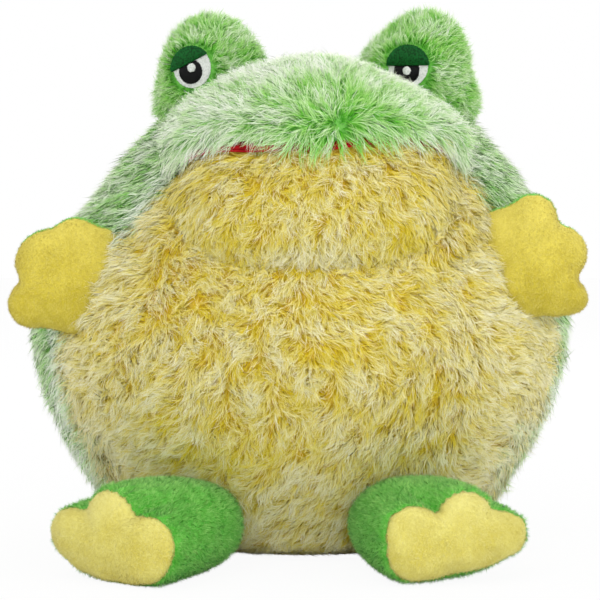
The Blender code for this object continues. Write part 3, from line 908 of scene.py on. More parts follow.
def makeHand(side):
    hand, form = hands[side], handForm
    angle = turnsOf(form["slices"])
    ring = 2 * np.linspace(0, 1, form["rings"] + 1)[:, None]
    top = ease(np.sin(angle), *form["topFrom"])
    seam = np.arccos(form["rimElse"] + (form["rimTop"] - form["rimElse"]) * top)
    theta = np.where(ring < 1, ring * seam, seam + (ring - 1) * (math.pi - seam))
    reach = softReach(hand["lobes"], hand["middle"], angle)[None, :] - form["backing"]
    share = np.sin(theta) ** form["fullness"]
    fromSeam = (theta - seam) * form["seamReach"]
    gain, steep = form["notch"]
    notch = ease(np.abs(np.gradient(reach[0])) * gain, 0.0, steep)
    groove = form["groove"] * bell(fromSeam, 0, form["grooveWide"])
    sway, swings = form["tuckSway"]
    tuck = form["tuck"] * np.cos(angle * form["tucks"] + sway * np.sin(angle * swings))
    tuck = tuck * np.exp(-np.abs(fromSeam) / form["tuckWide"]) * (form["tuckLeast"] + notch)
    reach = reach * share - groove + tuck
    thick = (form["halfThick"] - form["backing"]) * np.cos(theta)
    x = hand["middle"][0] + reach * np.cos(angle)
    z = hand["middle"][1] + reach * np.sin(angle)
    points = np.stack([x, np.broadcast_to(form["y"], x.shape) - thick, z], 2)
    points[:, :, 1] += dentsOn(points, form, hand["seed"]) * share
    return makeLimb("hand" + side.capitalize(), points, "palm", form["slices"] * form["rings"] // 2)


def makeFoot(side):
    form, lobes = footForm, feet[side]["lobes"]
    sole, outward, forward = footAxes(side)
    angle = turnsOf(form["slices"])
    atSeam = math.acos((1 - form["soleDepth"] / form["toeDepth"]) ** (form["square"] / 2))
    theta = np.concatenate([
        np.linspace(0, atSeam, form["soleRings"] + 1),
        np.linspace(atSeam, math.pi, form["upperRings"] + 1)[1:],
    ])[:, None]
    across = np.abs(np.sin(theta)) ** (2 / form["square"])
    ahead = np.copysign(np.abs(np.cos(theta)) ** (2 / form["square"]), np.cos(theta))
    rest = form["length"] - form["toeDepth"]
    back = form["toeDepth"] - ahead * (np.where(ahead > 0, form["toeDepth"], rest) - form["backing"])
    behind = back - form["soleDepth"]
    fade = np.clip(behind / form["fade"], 0, 1)
    ankle = np.hypot(form["ankle"][0] * np.cos(angle), form["ankle"][1] * np.sin(angle))[None, :]
    lobed = softReach(lobes, form["middle"], angle)
    turned = [softReach(lobes, form["middle"], angle + math.radians(turn)) for turn in form["evened"]]
    wide = sum(turned) / len(turned)
    lobed = (lobed + ease(-np.sin(angle), *form["evenFrom"]) * np.maximum(wide - lobed, 0))[None, :]

    groove = form["groove"] * bell(behind, 0, form["grooveWide"])
    sway, swings = form["gatherSway"]
    swing = np.cos(angle * form["gathers"] + sway * np.sin(angle * swings + feet[side]["side"]))
    notch = ease(lobed.max() - lobed, *form["notch"])
    deep, length = form["gather"]
    soleDeep, soleLength = form["soleGather"]
    fold = np.where(behind > 0, deep * np.exp(-behind / length), soleDeep * np.exp(behind / soleLength))
    least, more = form["gatherShare"]
    fold = fold * (least + more * notch) * swing[None, :]
    fold = fold * (1 - np.exp(-np.abs(behind) / form["seamClear"]))
    smooth, low, high = form["smoothUnder"]
    fold = fold * (1 - smooth * ease(-np.sin(angle), low, high))
    reach = (lobed * (1 - fade) + ankle * fade - form["backing"]) * across - groove * across + fold
    x = form["middle"][0] + reach * np.cos(angle)
    z = form["middle"][1] - form["sunk"] + reach * np.sin(angle)
    upward = np.array([0, 0, 1.0])
    points = sole + x[:, :, None] * outward - back[:, :, None] * forward + z[:, :, None] * upward
    points += forward * (dentsOn(points, form, feet[side]["seed"]) * across)[:, :, None]
    points[:, :, 2] = np.maximum(points[:, :, 2], limbFloor)
    return makeLimb("foot" + side.capitalize(), points, "sole", form["slices"] * form["soleRings"])


def makeLimb(name, points, front, frontFaces):
    flat, faces = poledGrid(points)
    obj = newMesh(name, flat + toyShift, faces, shortPiles[front], shortPiles["green"])
    faceOut(obj)
    worn = np.zeros(len(obj.data.polygons), np.int32)
    worn[frontFaces:] = 1
    obj.data.polygons.foreach_set("material_index", worn)
    return obj


# A stuffed limb is plumped by a cloth simulation with pressure inside, run on an even copy of its mesh.
plump = {
    "voxel": 0.0045, "pressure": 4.0, "frames": 20, "shrink": 0.0008, "cap": 0.0034,
    "near": 8, "batch": 2000,  # how many moves each point takes up, and points worked out at once
}


def airMoves(obj, start):
    air = addObject(obj.name + "Air", obj.data.copy())
    writePoints(air.data, start)
    onlyThis(air)
    even = air.modifiers.new("even", "REMESH")
    even.mode = "VOXEL"
    even.voxel_size = plump["voxel"]
    bpy.ops.object.modifier_apply(modifier="even")
    before = readPoints(air.data)
    sheet = air.modifiers.new("cloth", "CLOTH")
    sheet.settings.use_pressure = True
    sheet.settings.uniform_pressure_force = plump["pressure"]
    sheet.settings.effector_weights.gravity = 0
    for number in range(1, plump["frames"] + 1):
        bpy.context.scene.frame_set(number)
    bpy.ops.object.modifier_apply(modifier="cloth")
    moves = readPoints(air.data) - before
    moves -= moves.mean(axis=0)
    bpy.data.objects.remove(air)
    bpy.context.scene.frame_set(1)
    far = np.linalg.norm(moves, axis=1, keepdims=True)
    print("plumped", obj.name, len(before), "points, largest move", round(float(far.max()), 4))
    return before, moves * np.minimum(1, plump["cap"] / np.maximum(far, 1e-9))


def plumped(obj):
    start = readPoints(obj.data) - readPoints(obj.data, "normal") * plump["shrink"]
    before, moves = airMoves(obj, start)
    count = plump["near"]
    carried = np.empty_like(start)
    for low in range(0, len(start), plump["batch"]):
        batch = slice(low, low + plump["batch"])
        gap = np.linalg.norm(start[batch, None] - before[None], axis=2)
        near = np.argpartition(gap, count, axis=1)[:, :count]
        pull = 1 / (np.take_along_axis(gap, near, 1) ** 2 + 1e-6)
        carried[batch] = np.sum(moves[near] * pull[:, :, None], axis=1) / pull.sum(axis=1)[:, None]
    points = start + carried
    points[:, 2] = np.maximum(points[:, 2], limbFloor)
    writePoints(obj.data, points)
    return obj


def partedPieces(obj, names):
    made = []
    for index, name in enumerate(names):
        bm = meshCopy(obj)
        others = [f for f in bm.faces if f.material_index != index]
        bmesh.ops.delete(bm, geom=others, context="FACES")
        edges = [e for e in bm.edges if e.is_boundary]
        filled = bmesh.ops.holes_fill(bm, edges=edges, sides=0)["faces"]
        for face in bm.faces:
            face.material_index = 0
        bmesh.ops.triangulate(bm, faces=filled)
        made.append(shapedFrom(bm, name, obj.data.materials[index]))
    bpy.data.objects.remove(obj)
    return made


limbPieces = {}
for side in hands:
    mark = side.capitalize()
    palm, back = partedPieces(plumped(makeHand(side)), [f"handPalm{mark}", f"handBack{mark}"])
    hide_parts(f"hand_palm_{side}")
    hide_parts(f"hand_back_{side}", f"hand_stuffing_{side}")
    sole, upper = partedPieces(plumped(makeFoot(side)), [f"footSole{mark}", f"footUpper{mark}"])
    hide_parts(f"foot_sole_{side}")
    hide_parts(f"foot_upper_{side}", f"foot_stuffing_{side}")
    limbPieces[side] = {"palm": palm, "back": back, "sole": sole, "upper": upper}
print("hands and feet made")


# Mouth: a red lining on each lip, with a rolled edge that shows between them.
mouth = {
    "across": 0.078, "columns": 96, "rows": 12, "crowded": 1.4, "thick": 0.0010, "roll": 0.0006,
    "inset": 0.0066, "back": -0.075, "edge": 0.93, "rollSides": 8, "rollEnds": 3,
    "open": (-0.032, 0.018, 0.0034),  # where the lips part, how widely and how far
}


def makeLining(name, grow):
    middle, deep, _ = lowerLip["centre"]
    turn = np.linspace(-math.pi / 2, math.pi / 2, mouth["columns"] + 1)
    x = middle + mouth["across"] * np.sin(turn)
    at, wide, far = mouth["open"]
    front = mouthFront(x, mouth["inset"]) - far * bell(x, at, wide)
    half, square = lowerLip["half"], lowerLip["square"]
    edge = np.clip(mouth["edge"] - np.abs((x - middle) / half[0]) ** square, 0, 1)
    front = np.maximum(front, deep - half[1] * edge ** (1 / square))
    rows = []
    for share in np.linspace(0, 1, mouth["rows"] + 1) ** mouth["crowded"]:
        y = front * (1 - share) + np.maximum(mouth["back"], front) * share
        rows.append(together(x, y, lowerLipTop(x, y, grow)))
    points = np.stack(rows)
    down, across = points.shape[:2]
    corners = [i * across + j for i in range(down - 1) for j in range(across - 1)]
    faces = [(a, a + 1, a + across + 1, a + across) for a in corners]
    sheet = newMesh(name, points.reshape(-1, 3) + toyShift, faces, redVelvet)
    onlyThis(sheet)
    shell = sheet.modifiers.new("shell", "SOLIDIFY")
    shell.thickness = mouth["thick"]
    shell.offset = 1
    bpy.ops.object.modifier_apply(modifier="shell")
    bead = makeRoll(name + "Roll", points[0] + (0, 0, mouth["thick"] / 2))
    onlyThis(sheet)
    bead.select_set(True)
    bpy.ops.object.join()
    return sheet


def makeRoll(name, line):
    run = unit(np.gradient(line, axis=0))
    up = flatTo(run, np.tile((0.0, 0.0, 1.0), (len(line), 1)))
    side = np.cross(run, up)
    ends = np.minimum(np.arange(len(line)), np.arange(len(line))[::-1])
    size = mouth["roll"] * np.sqrt(np.clip(ends / mouth["rollEnds"], 0, 1))[:, None]
    rings = []
    for k in range(mouth["rollSides"]):
        angle = 2 * math.pi * k / mouth["rollSides"]
        rings.append(line + toyShift + size * (math.cos(angle) * up + math.sin(angle) * side))
    flat, faces = poledGrid(np.stack(rings, 1))
    obj = newMesh(name, flat, faces, redVelvet)
    faceOut(obj)
    return obj


liningLower = makeLining("mouthLiningLower", 0.0003)
liningUpper = makeLining("mouthLiningUpper", 0.0017)
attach(liningLower, "torso")
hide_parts("mouth_lining_lower")
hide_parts("mouth_lining_upper")
print("mouth lined")


# Eyes: satin stitches laid side by side in each patch, with the sleepy lid over the top.
# A patch is across, up and radius, and a cut keeps what lies above (1) or below (-1) the lid's edge.
eyes = {
    "left": {
        "pupil": (-0.0008, -0.0026, 0.0083), "highlight": (-0.0006, -0.0026, 0.0026),
        "lidHeight": 0.0006, "lidSlope": 0.0,
    },
    "right": {
        "pupil": (-0.0006, -0.0025, 0.0078), "highlight": (0.0002, 0.0, 0.0028),
        "lidHeight": 0.0036, "lidSlope": math.radians(25),
    },
}
eyeLayers = {
    "eyeWhite": {"node": "eye_white", "thread": "white", "slant": math.radians(8), "low": 0.0002},
    "pupil": {"node": "pupil", "thread": "black", "slant": math.radians(84), "low": 0.0010, "cut": -1},
    "highlight": {"node": "highlight", "thread": "white", "slant": 0.2, "low": 0.0018, "cut": -1},
    "eyelid": {
        "node": "eyelid", "thread": "dark_green", "slant": math.radians(78), "low": 0.0012, "cut": 1,
        "rise": 0.0020, "wider": 0.0012, "turns": True,
    },
}
stitch = {
    "pitch": 0.00052, "width": 1.3, "rise": 0.0011, "shortest": 0.0006,
    "ends": (0.0, 0.05, 0.5, 0.95, 1.0), "arch": (0.1, 0.8, 1.0, 0.8, 0.1),
    "wobble": ((0.00016, 2.4), (0.0001, 5.1)), "round": (0.55, 0.8),
    "endHigh": 0.35, "edgeHigh": 0.25,  # shares of the rise left at a stitch's ends and edges
}


def keptSpan(reach, wobble, lead, run, edge):
    start, end = -reach + wobble, reach + wobble
    if edge is None:
        return start, end
    place, normal = edge
    ahead, climb = float((lead - place) @ normal), float(run @ normal)
    if abs(climb) < 1e-6:
        return (start, end) if ahead >= 0 else (0, 0)
    crossing = -ahead / climb
    return (max(start, crossing), end) if climb > 0 else (start, min(end, crossing))


def satinPatch(name, side, patch, slant, low, rise, thread, edge):
    centre, facing, across = eyeAxes(side)
    seat = centre + facing * eyeLook["seat"] + (0, 0, mounds[side]["eyeUp"])
    run = np.array([math.cos(slant), math.sin(slant)])
    step = np.array([-run[1], run[0]])
    middle, radius, pitch = np.array(patch[:2]), patch[2], stitch["pitch"]
    rows = int(2 * radius / pitch)
    half = pitch * stitch["width"] / 2
    inner, crest = stitch["round"]
    profile = ((-half, 0.0), (-half * inner, crest), (half * inner, crest), (half, 0.0))
    endHigh, edgeHigh = stitch["endHigh"], stitch["edgeHigh"]
    spans = len(stitch["ends"]) - 1
    points, faces = [], []
    for row in range(rows):
        q = (row + 0.5) * pitch - rows * pitch / 2
        lead = middle + step * q
        wobble = sum(far * math.sin(row * pace) for far, pace in stitch["wobble"])
        start, end = keptSpan(math.sqrt(max(radius**2 - q * q, 0)), wobble, lead, run, edge)
        if end - start < stitch["shortest"]:
            continue
        first = len(points)
        for share, arch in zip(stitch["ends"], stitch["arch"]):
            along = start + (end - start) * share
            for off, tall in profile:
                flat = middle + run * along + step * (q + off)
                risen = (endHigh + (1 - endHigh) * arch) * (edgeHigh + (1 - edgeHigh) * tall / crest)
                high = low + rise * risen
                points.append(seat + across * flat[0] + (0, 0, flat[1]) + facing * high)
        for span in range(spans):
            for k in range(4):
                a = first + span * 4 + k
                b = first + span * 4 + (k + 1) % 4
                faces.append((a, b, b + 4, a + 4))
        faces.append(tuple(first + k for k in (3, 2, 1, 0)))
        faces.append(tuple(first + 4 * spans + k for k in range(4)))
    obj = newMesh(name, np.array(points) + toyShift, faces, threads[thread])
    faceOut(obj)
    return obj


def makeEye(side):
    eye = eyes[side]
    slope = eye["lidSlope"]
    place = np.array([0.0, eye["lidHeight"]])
    normal = np.array([-math.sin(slope), math.cos(slope)])
    for piece, layer in eyeLayers.items():
        patch = eye.get(piece, (0.0, 0.0, eyeLook["radius"] + layer.get("wider", 0)))
        slant = layer["slant"] + (slope if "turns" in layer else 0)
        edge = (place, normal * layer["cut"]) if "cut" in layer else None
        rise = layer.get("rise", stitch["rise"])
        obj = satinPatch(
            piece + side.capitalize(), side, patch, slant, layer["low"], rise, layer["thread"], edge,
        )
        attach(obj, "torso")
        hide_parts(f"{layer['node']}_{side}")


for side in mounds:
    makeEye(side)
print("eyes stitched")


# Where pile grows: not where parts are sewn together, in the mouth or over the eyes.
bare = {
    "seamLap": 0.0005, "limbReach": (0.041, 0.032), "handIn": 0.004, "ballLap": -0.012,
    "mouthAbove": 0.240, "mouthIn": (0.0030, 0.014), "mouthEnds": (0.060, 0.074),
    "lipEdge": 0.0012, "aroundEye": 0.0010, "eyeAhead": 0.02,
}


def insideLimb(places, grow):
    inside = np.zeros(len(places), bool)
    wide, tall = (reach + grow for reach in bare["limbReach"])
    for side in feet:
        sole, outward, forward = footAxes(side)
        apart = places - sole
        back = -(apart @ forward)
        off = np.hypot((apart @ outward) / wide, (apart[:, 2] - footForm["middle"][1]) / tall)
        inside |= (off < 1) & (back > 0) & (back < footForm["length"])
    for hand in hands.values():
        apart = places[:, [0, 2]] - np.array(hand["middle"])
        angle = np.arctan2(apart[:, 1], apart[:, 0])
        reach = softReach(hand["lobes"], hand["middle"], angle) + grow - bare["handIn"]
        deep = np.abs(places[:, 1] - handForm["y"]) < handForm["halfThick"] + grow - bare["handIn"]
        inside |= (np.hypot(apart[:, 0], apart[:, 1]) < reach) & deep
    return inside


def insideMounds(places):
    return sum(insideSwollen(places, moundShape(side), -moundBacking) for side in mounds) > 0


def outsideBall(places):
    return ~insideBall(places, -ball["backing"])


def onBall(places):
    buried = insideSwollen(places, lowerLip, -lipBacking) | insideSwollen(places, upperLip, -lipBacking)
    return ~buried & ~insideMounds(places) & ~insideLimb(places, bare["ballLap"])


def onBelly(places):
    return onBall(places) & (aheadOfSeam(places) > -bare["seamLap"])


def onBack(places):
    return onBall(places) & (aheadOfSeam(places) < bare["seamLap"])


def onLower(places):
    x, y, z = places.T
    least, more = bare["mouthIn"]
    reach = least + more * ease(np.abs(x - lowerLip["centre"][0]), *bare["mouthEnds"])
    inMouth = (z > bare["mouthAbove"]) & (y > mouthFront(x, lipBacking) + reach)
    return outsideBall(places) & ~inMouth & ~insideLimb(places, 0)


def onUpper(places):
    x, y, z = places.T
    above = z > lowerLipTop(x, y, mouthRoom) + bare["lipEdge"]
    return outsideBall(places) & above & ~insideMounds(places)


def onMound(side):
    def allowed(places):
        off, ahead = fromEye(side, places)
        eye = (off < eyeLook["radius"] + bare["aroundEye"]) & (ahead > bare["eyeAhead"])
        return ~eye & outsideBall(places) & ~insideSwollen(places, upperLip, -lipBacking)

    return allowed


def everywhere(places):
    return np.ones(len(places), bool)


# Combing: the way the pile lies. A ruffle is its size, its share and a seed for each direction.
combs = {
    "belly": {
        "halfWide": 0.17, "fan": 1.1, "ahead": -0.15, "down": (-0.78, 0.1),
        "sway": (0.085, 3), "swayWay": (1.05, 0.0, 0.2625), "ruffle": (0.018, 0.55, (31, None, 32)),
    },
    "back": {
        "halfWide": 0.17, "fan": 0.75, "ahead": (0.25, 0.4), "down": -0.95, "crown": (0.23, 0.31),
        "outward": 6, "outBack": 0.5, "outDown": -0.3, "ruffle": (0.030, 0.28, (33, 34, 35)),
    },
    "lower": {
        "halfWide": 0.10, "fan": 1.15, "down": (-0.25, -0.85), "rim": (-0.016, -0.002),
        "rimFan": 0.9, "rimUp": (-0.75, 0.40), "ruffle": (0.016, 0.42, (36, None, 37)),
    },
    "upper": {
        "swirl": (0.024, -0.160, 0.262), "swirlWide": (0.008, 0.030), "swirlWay": (0.2, -0.3, -0.5),
        "rim": (0.003, 0.017), "droop": (0.0, -0.225, -1.5), "ruffle": (0.018, 0.34, (38, 39, 40)),
    },
    "mound": {"outward": 1.1, "way": (0.0, 0.15, 0.25), "ruffle": (0.018, 0.3, (41, 42, 43))},
    "limb": {"outward": 0.6, "ruffle": (0.022, 0.4, (62, None, 63))},
}
swirl = np.array(combs["upper"]["swirl"])


def aboveMouth(places):
    x = places[:, 0]
    return places[:, 2] - lowerLipTop(x, mouthFront(x, lipBacking), mouthRoom)


def combBelly(places):
    look, (down, less) = combs["belly"], combs["belly"]["down"]
    sway = waves(places, *look["sway"])[:, None] * look["swayWay"]
    wide = places[:, 0] / look["halfWide"]
    fan = together(wide * look["fan"], look["ahead"], down + less * places[:, 2])
    return fan + sway + ruffle(places, *look["ruffle"])


def combBack(places):
    look, (ahead, more) = combs["back"], combs["back"]["ahead"]
    x, y, z = places.T
    crown = ease(z, *look["crown"])[:, None]
    wide, deep = x / look["halfWide"], y / look["halfWide"]
    down = together(wide * look["fan"], ahead + more * deep, look["down"])
    off = together(x * look["outward"], y * look["outward"] + look["outBack"], look["outDown"])
    return down * (1 - crown) + off * crown + ruffle(places, *look["ruffle"])


def combLower(places):
    look = combs["lower"]
    wide = (places[:, 0] - lowerLip["centre"][0]) / look["halfWide"]
    rim = ease(aboveMouth(places), *look["rim"])[:, None]
    fan = together(wide * look["fan"], *look["down"])
    lift = together(wide * look["rimFan"], *look["rimUp"])
    return fan * (1 - rim) + lift * rim + ruffle(places, *look["ruffle"])


def combUpper(places):
    look, apart = combs["upper"], places - swirl
    near = 1 - ease(np.linalg.norm(apart, axis=1), *look["swirlWide"])
    rim = 1 - ease(aboveMouth(places), *look["rim"])
    turned = near[:, None] * look["swirlWay"] + rim[:, None] * look["droop"]
    return unit(apart) + turned + ruffle(places, *look["ruffle"])


def combFrom(middle, kind, way):
    def comb(places):
        look = combs[kind]
        return unit(places - middle) * look["outward"] + way + ruffle(places, *look["ruffle"])

    return comb


def combMound(side):
    centre, facing, _ = eyeAxes(side)
    eye = centre + facing * eyeLook["seat"] + (0, 0, mounds[side]["eyeUp"])
    return combFrom(eye, "mound", combs["mound"]["way"])


# The belly's pile lies in wavy rows, and a fold runs under the chin. Both change tone and height; under the
# chin the deeper tone is painted shade in the crease.
furRow = {
    "pitch": 0.029, "drift": 0.45, "broad": 0.9, "narrow": 0.35, "wave": (0.085, 71), "flatter": 0.4,
    "ripple": (0.030, 72), "rippleShare": 0.35,
    "fine": (((0.35, 0.35, 1.0), 0.0105, 73), ((0.30, 0.30, 1.0), 0.018, 74)),
}
chinFold = {"at": 1.035, "wide": 0.055, "below": 0.200, "ends": (0.040, 0.070), "high": 0.45, "tone": 0.40}


def furRows(places):
    drift = waves(places * (1.0, 1.0, furRow["flatter"]), *furRow["wave"])
    drift = drift + furRow["rippleShare"] * waves(places, *furRow["ripple"])
    broad = np.sin(2 * math.pi * (places[:, 2] / furRow["pitch"] + furRow["drift"] * drift))
    narrow = sum(waves(places * stretch, size, seed) for stretch, size, seed in furRow["fine"])
    return furRow["broad"] * broad + furRow["narrow"] * narrow


def foldAndShadeUnderChin(places):
    fold = bell(chinShare(places), chinFold["at"], chinFold["wide"]) * (places[:, 2] < chinFold["below"])
    return fold * (1 - ease(fromChin(places), *chinFold["ends"]))


# Tones: a base, patches (share, size, seed), the rows' share and ramps (share, measure, from, to).
measures = {
    "aside": lambda places: np.abs(places[:, 0]),
    "fromMiddle": lambda places: np.abs(places[:, 0] - lowerLip["centre"][0]),
    "height": lambda places: places[:, 2],
    "depth": lambda places: -places[:, 2],
    "fromSwirl": lambda places: np.hypot(places[:, 0] - swirl[0], places[:, 2] - swirl[2]),
}
limbPatches = {"base": 0.38, "patches": ((0.18, 0.012, 61),)}
tones = {
    "belly": {
        "base": 0.33, "patches": ((0.05, 0.050, 51), (0.07, 0.011, 52)), "rows": 0.22,
        "ramps": ((0.28, "aside", 0.055, 0.135), (0.26, "depth", -0.100, -0.030)),
        "most": 0.68, "corner": 1.05, "cornerAside": (0.095, 0.150), "cornerDepth": (-0.115, -0.060),
    },
    "lower": {
        "base": 0.24, "patches": ((0.08, 0.040, 53), (0.08, 0.010, 54)), "rows": 0.10,
        "ramps": ((0.14, "fromMiddle", 0.055, 0.090),),
        "spot": (0.010, 0.196), "spotHalf": (0.026, 0.014), "spotTone": 0.46,
    },
    "back": {
        "base": 0.60, "patches": ((0.22, 0.045, 55), (0.11, 0.015, 56)),
        "ramps": ((0.06, "height", 0.0, 0.1),),
        "seam": 0.22, "seamWide": (0.0, 0.045), "seamDepth": (-0.275, -0.225),
    },
    # Painted light: the second ramp makes the muzzle's pile paler towards its top, as a painted highlight
    # from above.
    "upper": {
        "base": 0.18, "patches": ((0.15, 0.026, 57), (0.09, 0.011, 58)),
        "ramps": ((0.54, "fromSwirl", 0.015, 0.062), (0.30, "height", 0.280, 0.310)),
    },
    "mound": {"base": 0.30, "patches": ((0.16, 0.022, 59), (0.09, 0.010, 60))},
    # Painted light: the fibres on hands and feet grow paler towards the top of each limb.
    "hand": {**limbPatches, "ramps": ((0.34, "height", 0.170, 0.228),)},
    "foot": {**limbPatches, "ramps": ((0.34, "height", 0.030, 0.070),)},
}


def toned(kind):
    def tone(places):
        look = tones[kind]
        found = np.full(len(places), look["base"])
        for share, size, seed in look["patches"]:
            found += share * waves(places, size, seed)
        if "rows" in look:
            found += look["rows"] * furRows(places)
        for share, measure, low, high in look.get("ramps", ()):
            found += share * ease(measures[measure](places), low, high)
        return found

    return tone


def toneBelly(places):
    look, (x, _, z) = tones["belly"], places.T
    # Painted shade: the tone is deepened along the crease under the chin.
    tone = np.minimum(toned("belly")(places) - chinFold["tone"] * foldAndShadeUnderChin(places), look["most"])
    corner = ease(np.abs(x), *look["cornerAside"]) * ease(-z, *look["cornerDepth"])
    return tone * (1 - corner) + look["corner"] * corner


def toneLower(places):
    look = tones["lower"]
    off = (places[:, [0, 2]] - look["spot"]) / look["spotHalf"]
    return toned("lower")(places) + look["spotTone"] * np.exp(-np.sum(off**2, axis=1))


def toneBack(places):
    look = tones["back"]
    seam = 1 - ease(-aheadOfSeam(places), *look["seamWide"])
    return toned("back")(places) + look["seam"] * seam * ease(-places[:, 2], *look["seamDepth"])


# Heights and lengths: the pile is lower near the ground, at the mouth's rim and on the muzzle's
# shoulder, and longer over the mouth and at the chin's ends.
pileForm = {
    "ground": (-0.001, 0.030), "least": 0.0018, "rim": (0.002, 0.014),
    "crown": (0.18, 0.285, 0.312), "rimLow": 0.30, "rimLong": 0.75, "openShort": (0.9, 0.022),
    "shoulder": 0.55, "shoulderAside": (0.026, 0.060), "shoulderHeight": (0.266, 0.286),
    "chinHigh": (0.12, -0.204, -0.186), "chinLong": (0.35, 0.050, 0.072),
}


def pileHigh(base, rows):
    def high(places):
        uneven = 1 + rows * furRows(places) - chinFold["high"] * foldAndShadeUnderChin(places)
        grown = base * ease(places[:, 2], *pileForm["ground"]) * uneven
        return np.maximum(grown, pileForm["least"])

    return high


def aroundMouth(places):
    return 1 - ease(aboveMouth(places), *pileForm["rim"])


def upperHigh(base):
    def high(places):
        less, low, top = pileForm["crown"]
        x, _, z = places.T
        shoulder = ease(x, *pileForm["shoulderAside"]) * ease(z, *pileForm["shoulderHeight"])
        lost = less * ease(z, low, top) + pileForm["shoulder"] * shoulder
        return base * (1 - lost - pileForm["rimLow"] * aroundMouth(places))

    return high


def upperLong(places):
    less, wide = pileForm["openShort"]
    opened = bell(places[:, 0], mouth["open"][0], wide)
    return 1 + pileForm["rimLong"] * aroundMouth(places) * (1 - less * opened)


def lowerHigh(base):
    more, low, top = pileForm["chinHigh"]
    return lambda places: base * (1 + more * ease(-places[:, 2], low, top))


def lowerLong(places):
    more, low, top = pileForm["chinLong"]
    return 1 + more * ease(measures["fromMiddle"](places), low, top)


longTuft = {"blades": 6, "rings": 2, "gather": 0.50, "stiff": 0.9, "spin": 0.7}
shortTuft = {"rings": 1, "curl": 0.0}
looks = {
    "belly": {
        **longTuft, "spacing": 0.0020, "width": 0.00046, "lean": 0.0102, "high": pileHigh(0.0072, 0.28),
        "stray": 0.0010, "curl": 0.0022, "tousle": 0.24, "tuftTone": 0.23, "bladeTone": 0.15,
    },
    "back": {
        **longTuft, "spacing": 0.0028, "width": 0.00076, "lean": 0.0114, "high": pileHigh(0.0078, 0.10),
        "blades": 5, "stray": 0.0012, "curl": 0.0022, "tousle": 0.28, "tuftTone": 0.20, "bladeTone": 0.12,
    },
    "lower": {
        **longTuft, "spacing": 0.0020, "width": 0.00044, "lean": 0.0098, "high": lowerHigh(0.0070),
        "long": lowerLong, "rings": 3,
        "stray": 0.0010, "curl": 0.0024, "tousle": 0.26, "tuftTone": 0.24, "bladeTone": 0.15,
    },
    "upper": {
        **longTuft, "spacing": 0.0020, "width": 0.00048, "lean": 0.0118, "high": upperHigh(0.0070),
        "long": upperLong, "rings": 3,
        "stray": 0.0011, "curl": 0.0024, "tousle": 0.26, "tuftTone": 0.24, "bladeTone": 0.16,
    },
    "mound": {
        **longTuft, "spacing": 0.0018, "width": 0.00044, "lean": 0.0064, "high": 0.0064,
        "stray": 0.0009, "curl": 0.0016, "tousle": 0.30, "tuftTone": 0.21, "bladeTone": 0.14,
    },
    "nap": {
        **shortTuft, "spacing": 0.0012, "blades": 3, "width": 0.00042, "lean": 0.0030, "high": 0.0021,
        "gather": 0.35, "stiff": 0.9, "stray": 0.0004, "tousle": 0.5,
        "tuftTone": 0.17, "bladeTone": 0.14, "spin": 0.35,
    },
    "short": {
        **shortTuft, "spacing": 0.0011, "blades": 4, "width": 0.00034, "lean": 0.0022, "high": 0.0010,
        "gather": 0.45, "stiff": 0.6, "stray": 0.0002, "tousle": 0.40,
        "tuftTone": 0.16, "bladeTone": 0.12, "spin": 0.15,
    },
}
pileRows = [  # pieces' name, skin, colour, look, comb, tone, where it grows, seed, number of pieces
    ("bellyPile", bellySkin, "yellow", "belly", combBelly, toneBelly, onBelly, 100, 4),
    ("backPile", backSkin, "green", "back", combBack, toneBack, onBack, 200, 4),
    ("lowerLipPile", lowerLipSkin, "yellow", "lower", combLower, toneLower, onLower, 300, 2),
    ("upperLipPile", upperLipSkin, "green", "upper", combUpper, toned("upper"), onUpper, 301, 2),
]
for side, seed in (("left", 314), ("right", 315)):
    fields = (combMound(side), toned("mound"), onMound(side))
    pileRows.append(
        (f"moundPile{side.capitalize()}", moundSkins[side], "green", "mound", *fields, seed, 1),
    )
for name, skin, colour, look, comb, tone, grows, seed, parts in pileRows:
    tufts = growPile(name, skin, longPiles[colour], looks[look], comb, tone, grows, seed, parts)
    for piece in (skin, *tufts):
        if skin == upperLipSkin:
            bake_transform(piece)
        else:
            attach(piece, "torso")
        colour + "_long_pile"
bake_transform(liningUpper)
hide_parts("lower_lip_skin", "lower_lip_stuffing")
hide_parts("upper_lip_skin", "upper_lip_stuffing")
print("long pile grown")


limbRows = (  # piece, limb, its fibres, slot's colour, look and how much the pile droops
    ("palm", "hand", "palm", "yellow", "short", 0.7),
    ("back", "hand", "green", "green", "short", 0.7),
    ("sole", "foot", "sole", "yellow", "short", 0.5),
    ("upper", "foot", "green", "green", "nap", 0.2),
)


for side, pieces in limbPieces.items():
    hand = hands[side]
    middles = {
        "hand": (hand["middle"][0], handForm["y"], hand["middle"][1]),
        "foot": (*feet[side]["sole"], 0.03),
    }
    for index, (key, limb, fibre, colour, look, droop) in enumerate(limbRows):
        fuzz, = growPile(
            f"{key}Fuzz{side.capitalize()}", pieces[key], fibres[fibre], looks[look],
            combFrom(middles[limb], "limb", (0.0, 0.0, -droop)), toned(limb), everywhere,
            400 + index + 10 * len(side),
        )
        for piece in (pieces[key], fuzz):
            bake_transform(piece)
print("short pile grown")


# Camera where the photograph was taken, soft studio light and a pale floor.
view = {"middle": (0.0, setBack, 0.158), "away": 1.6, "rise": math.radians(3), "acrossAtMiddle": 0.396}
lamps = {
    "key": {"at": (-0.55, -1.5, 1.5), "size": 1.2, "power": 8.5},
    "front": {"at": (0.15, -2.4, 0.75), "size": 1.2, "power": 10.5},
    "fill": {"at": (1.3, -1.2, 0.7), "size": 1.4, "power": 5.5},
    "rear": {"at": (0.3, 1.5, 1.3), "size": 1.4, "power": 10},
}
lampAim = (0, 0, 0.15)
studio = {"skyOnToy": 0.86, "floorSize": 8, "floorGrey": 0.86, "floorGlow": 0.945}


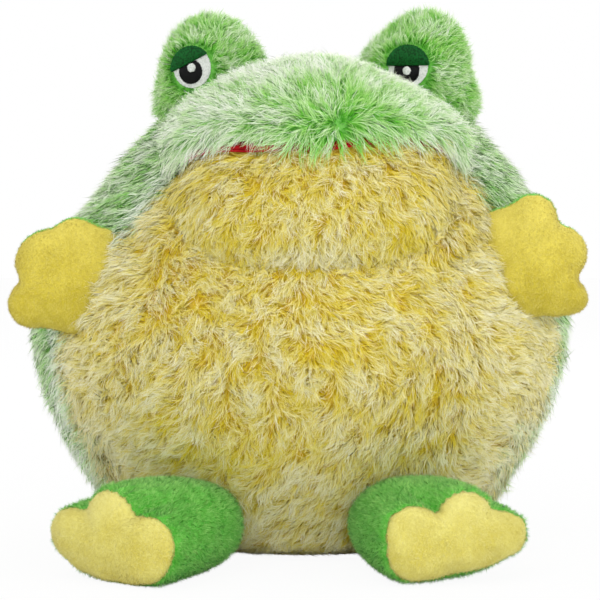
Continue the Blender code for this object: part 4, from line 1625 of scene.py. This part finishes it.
def aimed(obj, place, direction):
    obj.location = place
    obj.rotation_euler = direction.to_track_quat("-Z", "Y").to_euler()


def makeCamera():
    camera = bpy.data.cameras.new("camera")
    camera.sensor_width = 36
    camera.lens = camera.sensor_width * view["away"] / view["acrossAtMiddle"]
    camera.clip_start = 0.05
    back = Vector((0, -math.cos(view["rise"]), math.sin(view["rise"])))
    bpy.context.scene.camera = addObject("camera", camera)
    aimed(bpy.context.scene.camera, Vector(view["middle"]) + back * view["away"], -back)


def makeLamps():
    for name, lamp in lamps.items():
        light = bpy.data.lights.new(name, "AREA")
        light.shape = "DISK"
        light.size = lamp["size"]
        light.energy = lamp["power"]
        aimed(addObject(name, light), lamp["at"], Vector(lampAim) - Vector(lamp["at"]))


def makeWorld():
    world = bpy.data.worlds.new("studio")
    bpy.context.scene.world = world
    world.use_nodes = True
    nodes = Nodes(world.node_tree)
    seen = nodes.rays("Camera", "Glossy", "Transmission")
    ends = {"To Min": studio["skyOnToy"], "To Max": 1.0}
    background = nodes.tree.nodes["Background"]
    background.inputs["Color"].default_value = (1, 1, 1, 1)
    nodes.plug(background.inputs["Strength"], nodes.node("ShaderNodeMapRange", {}, {"Value": seen, **ends}))


def makeFloor():
    bpy.ops.object.select_all(action="DESELECT")
    bpy.ops.mesh.primitive_plane_add(size=studio["floorSize"], location=(0, 0, 0))
    floor = bpy.context.object
    floor.name = "floor"
    fabric = Fabric("paleFloor")
    grey = (*[studio["floorGrey"]] * 3, 1.0)
    fabric.finish({"Base Color": grey, "Roughness": 1.0, "Specular IOR Level": 0.0})
    matt = Wire(fabric, fabric.shader.outputs[0])
    glow = fabric.node("ShaderNodeEmission", {}, {"Color": (1, 1, 1, 1)})
    share = fabric.rays("Camera") * studio["floorGlow"]
    blend = fabric.node("ShaderNodeMixShader", {}, {0: share, 1: matt, 2: glow})
    fabric.plug(fabric.tree.nodes["Material Output"].inputs["Surface"], blend)
    floor.data.materials.append(fabric.material)


makeCamera()
makeLamps()
makeWorld()
makeFloor()
bpy.context.scene.view_settings.view_transform = "Standard"
print("studio made")
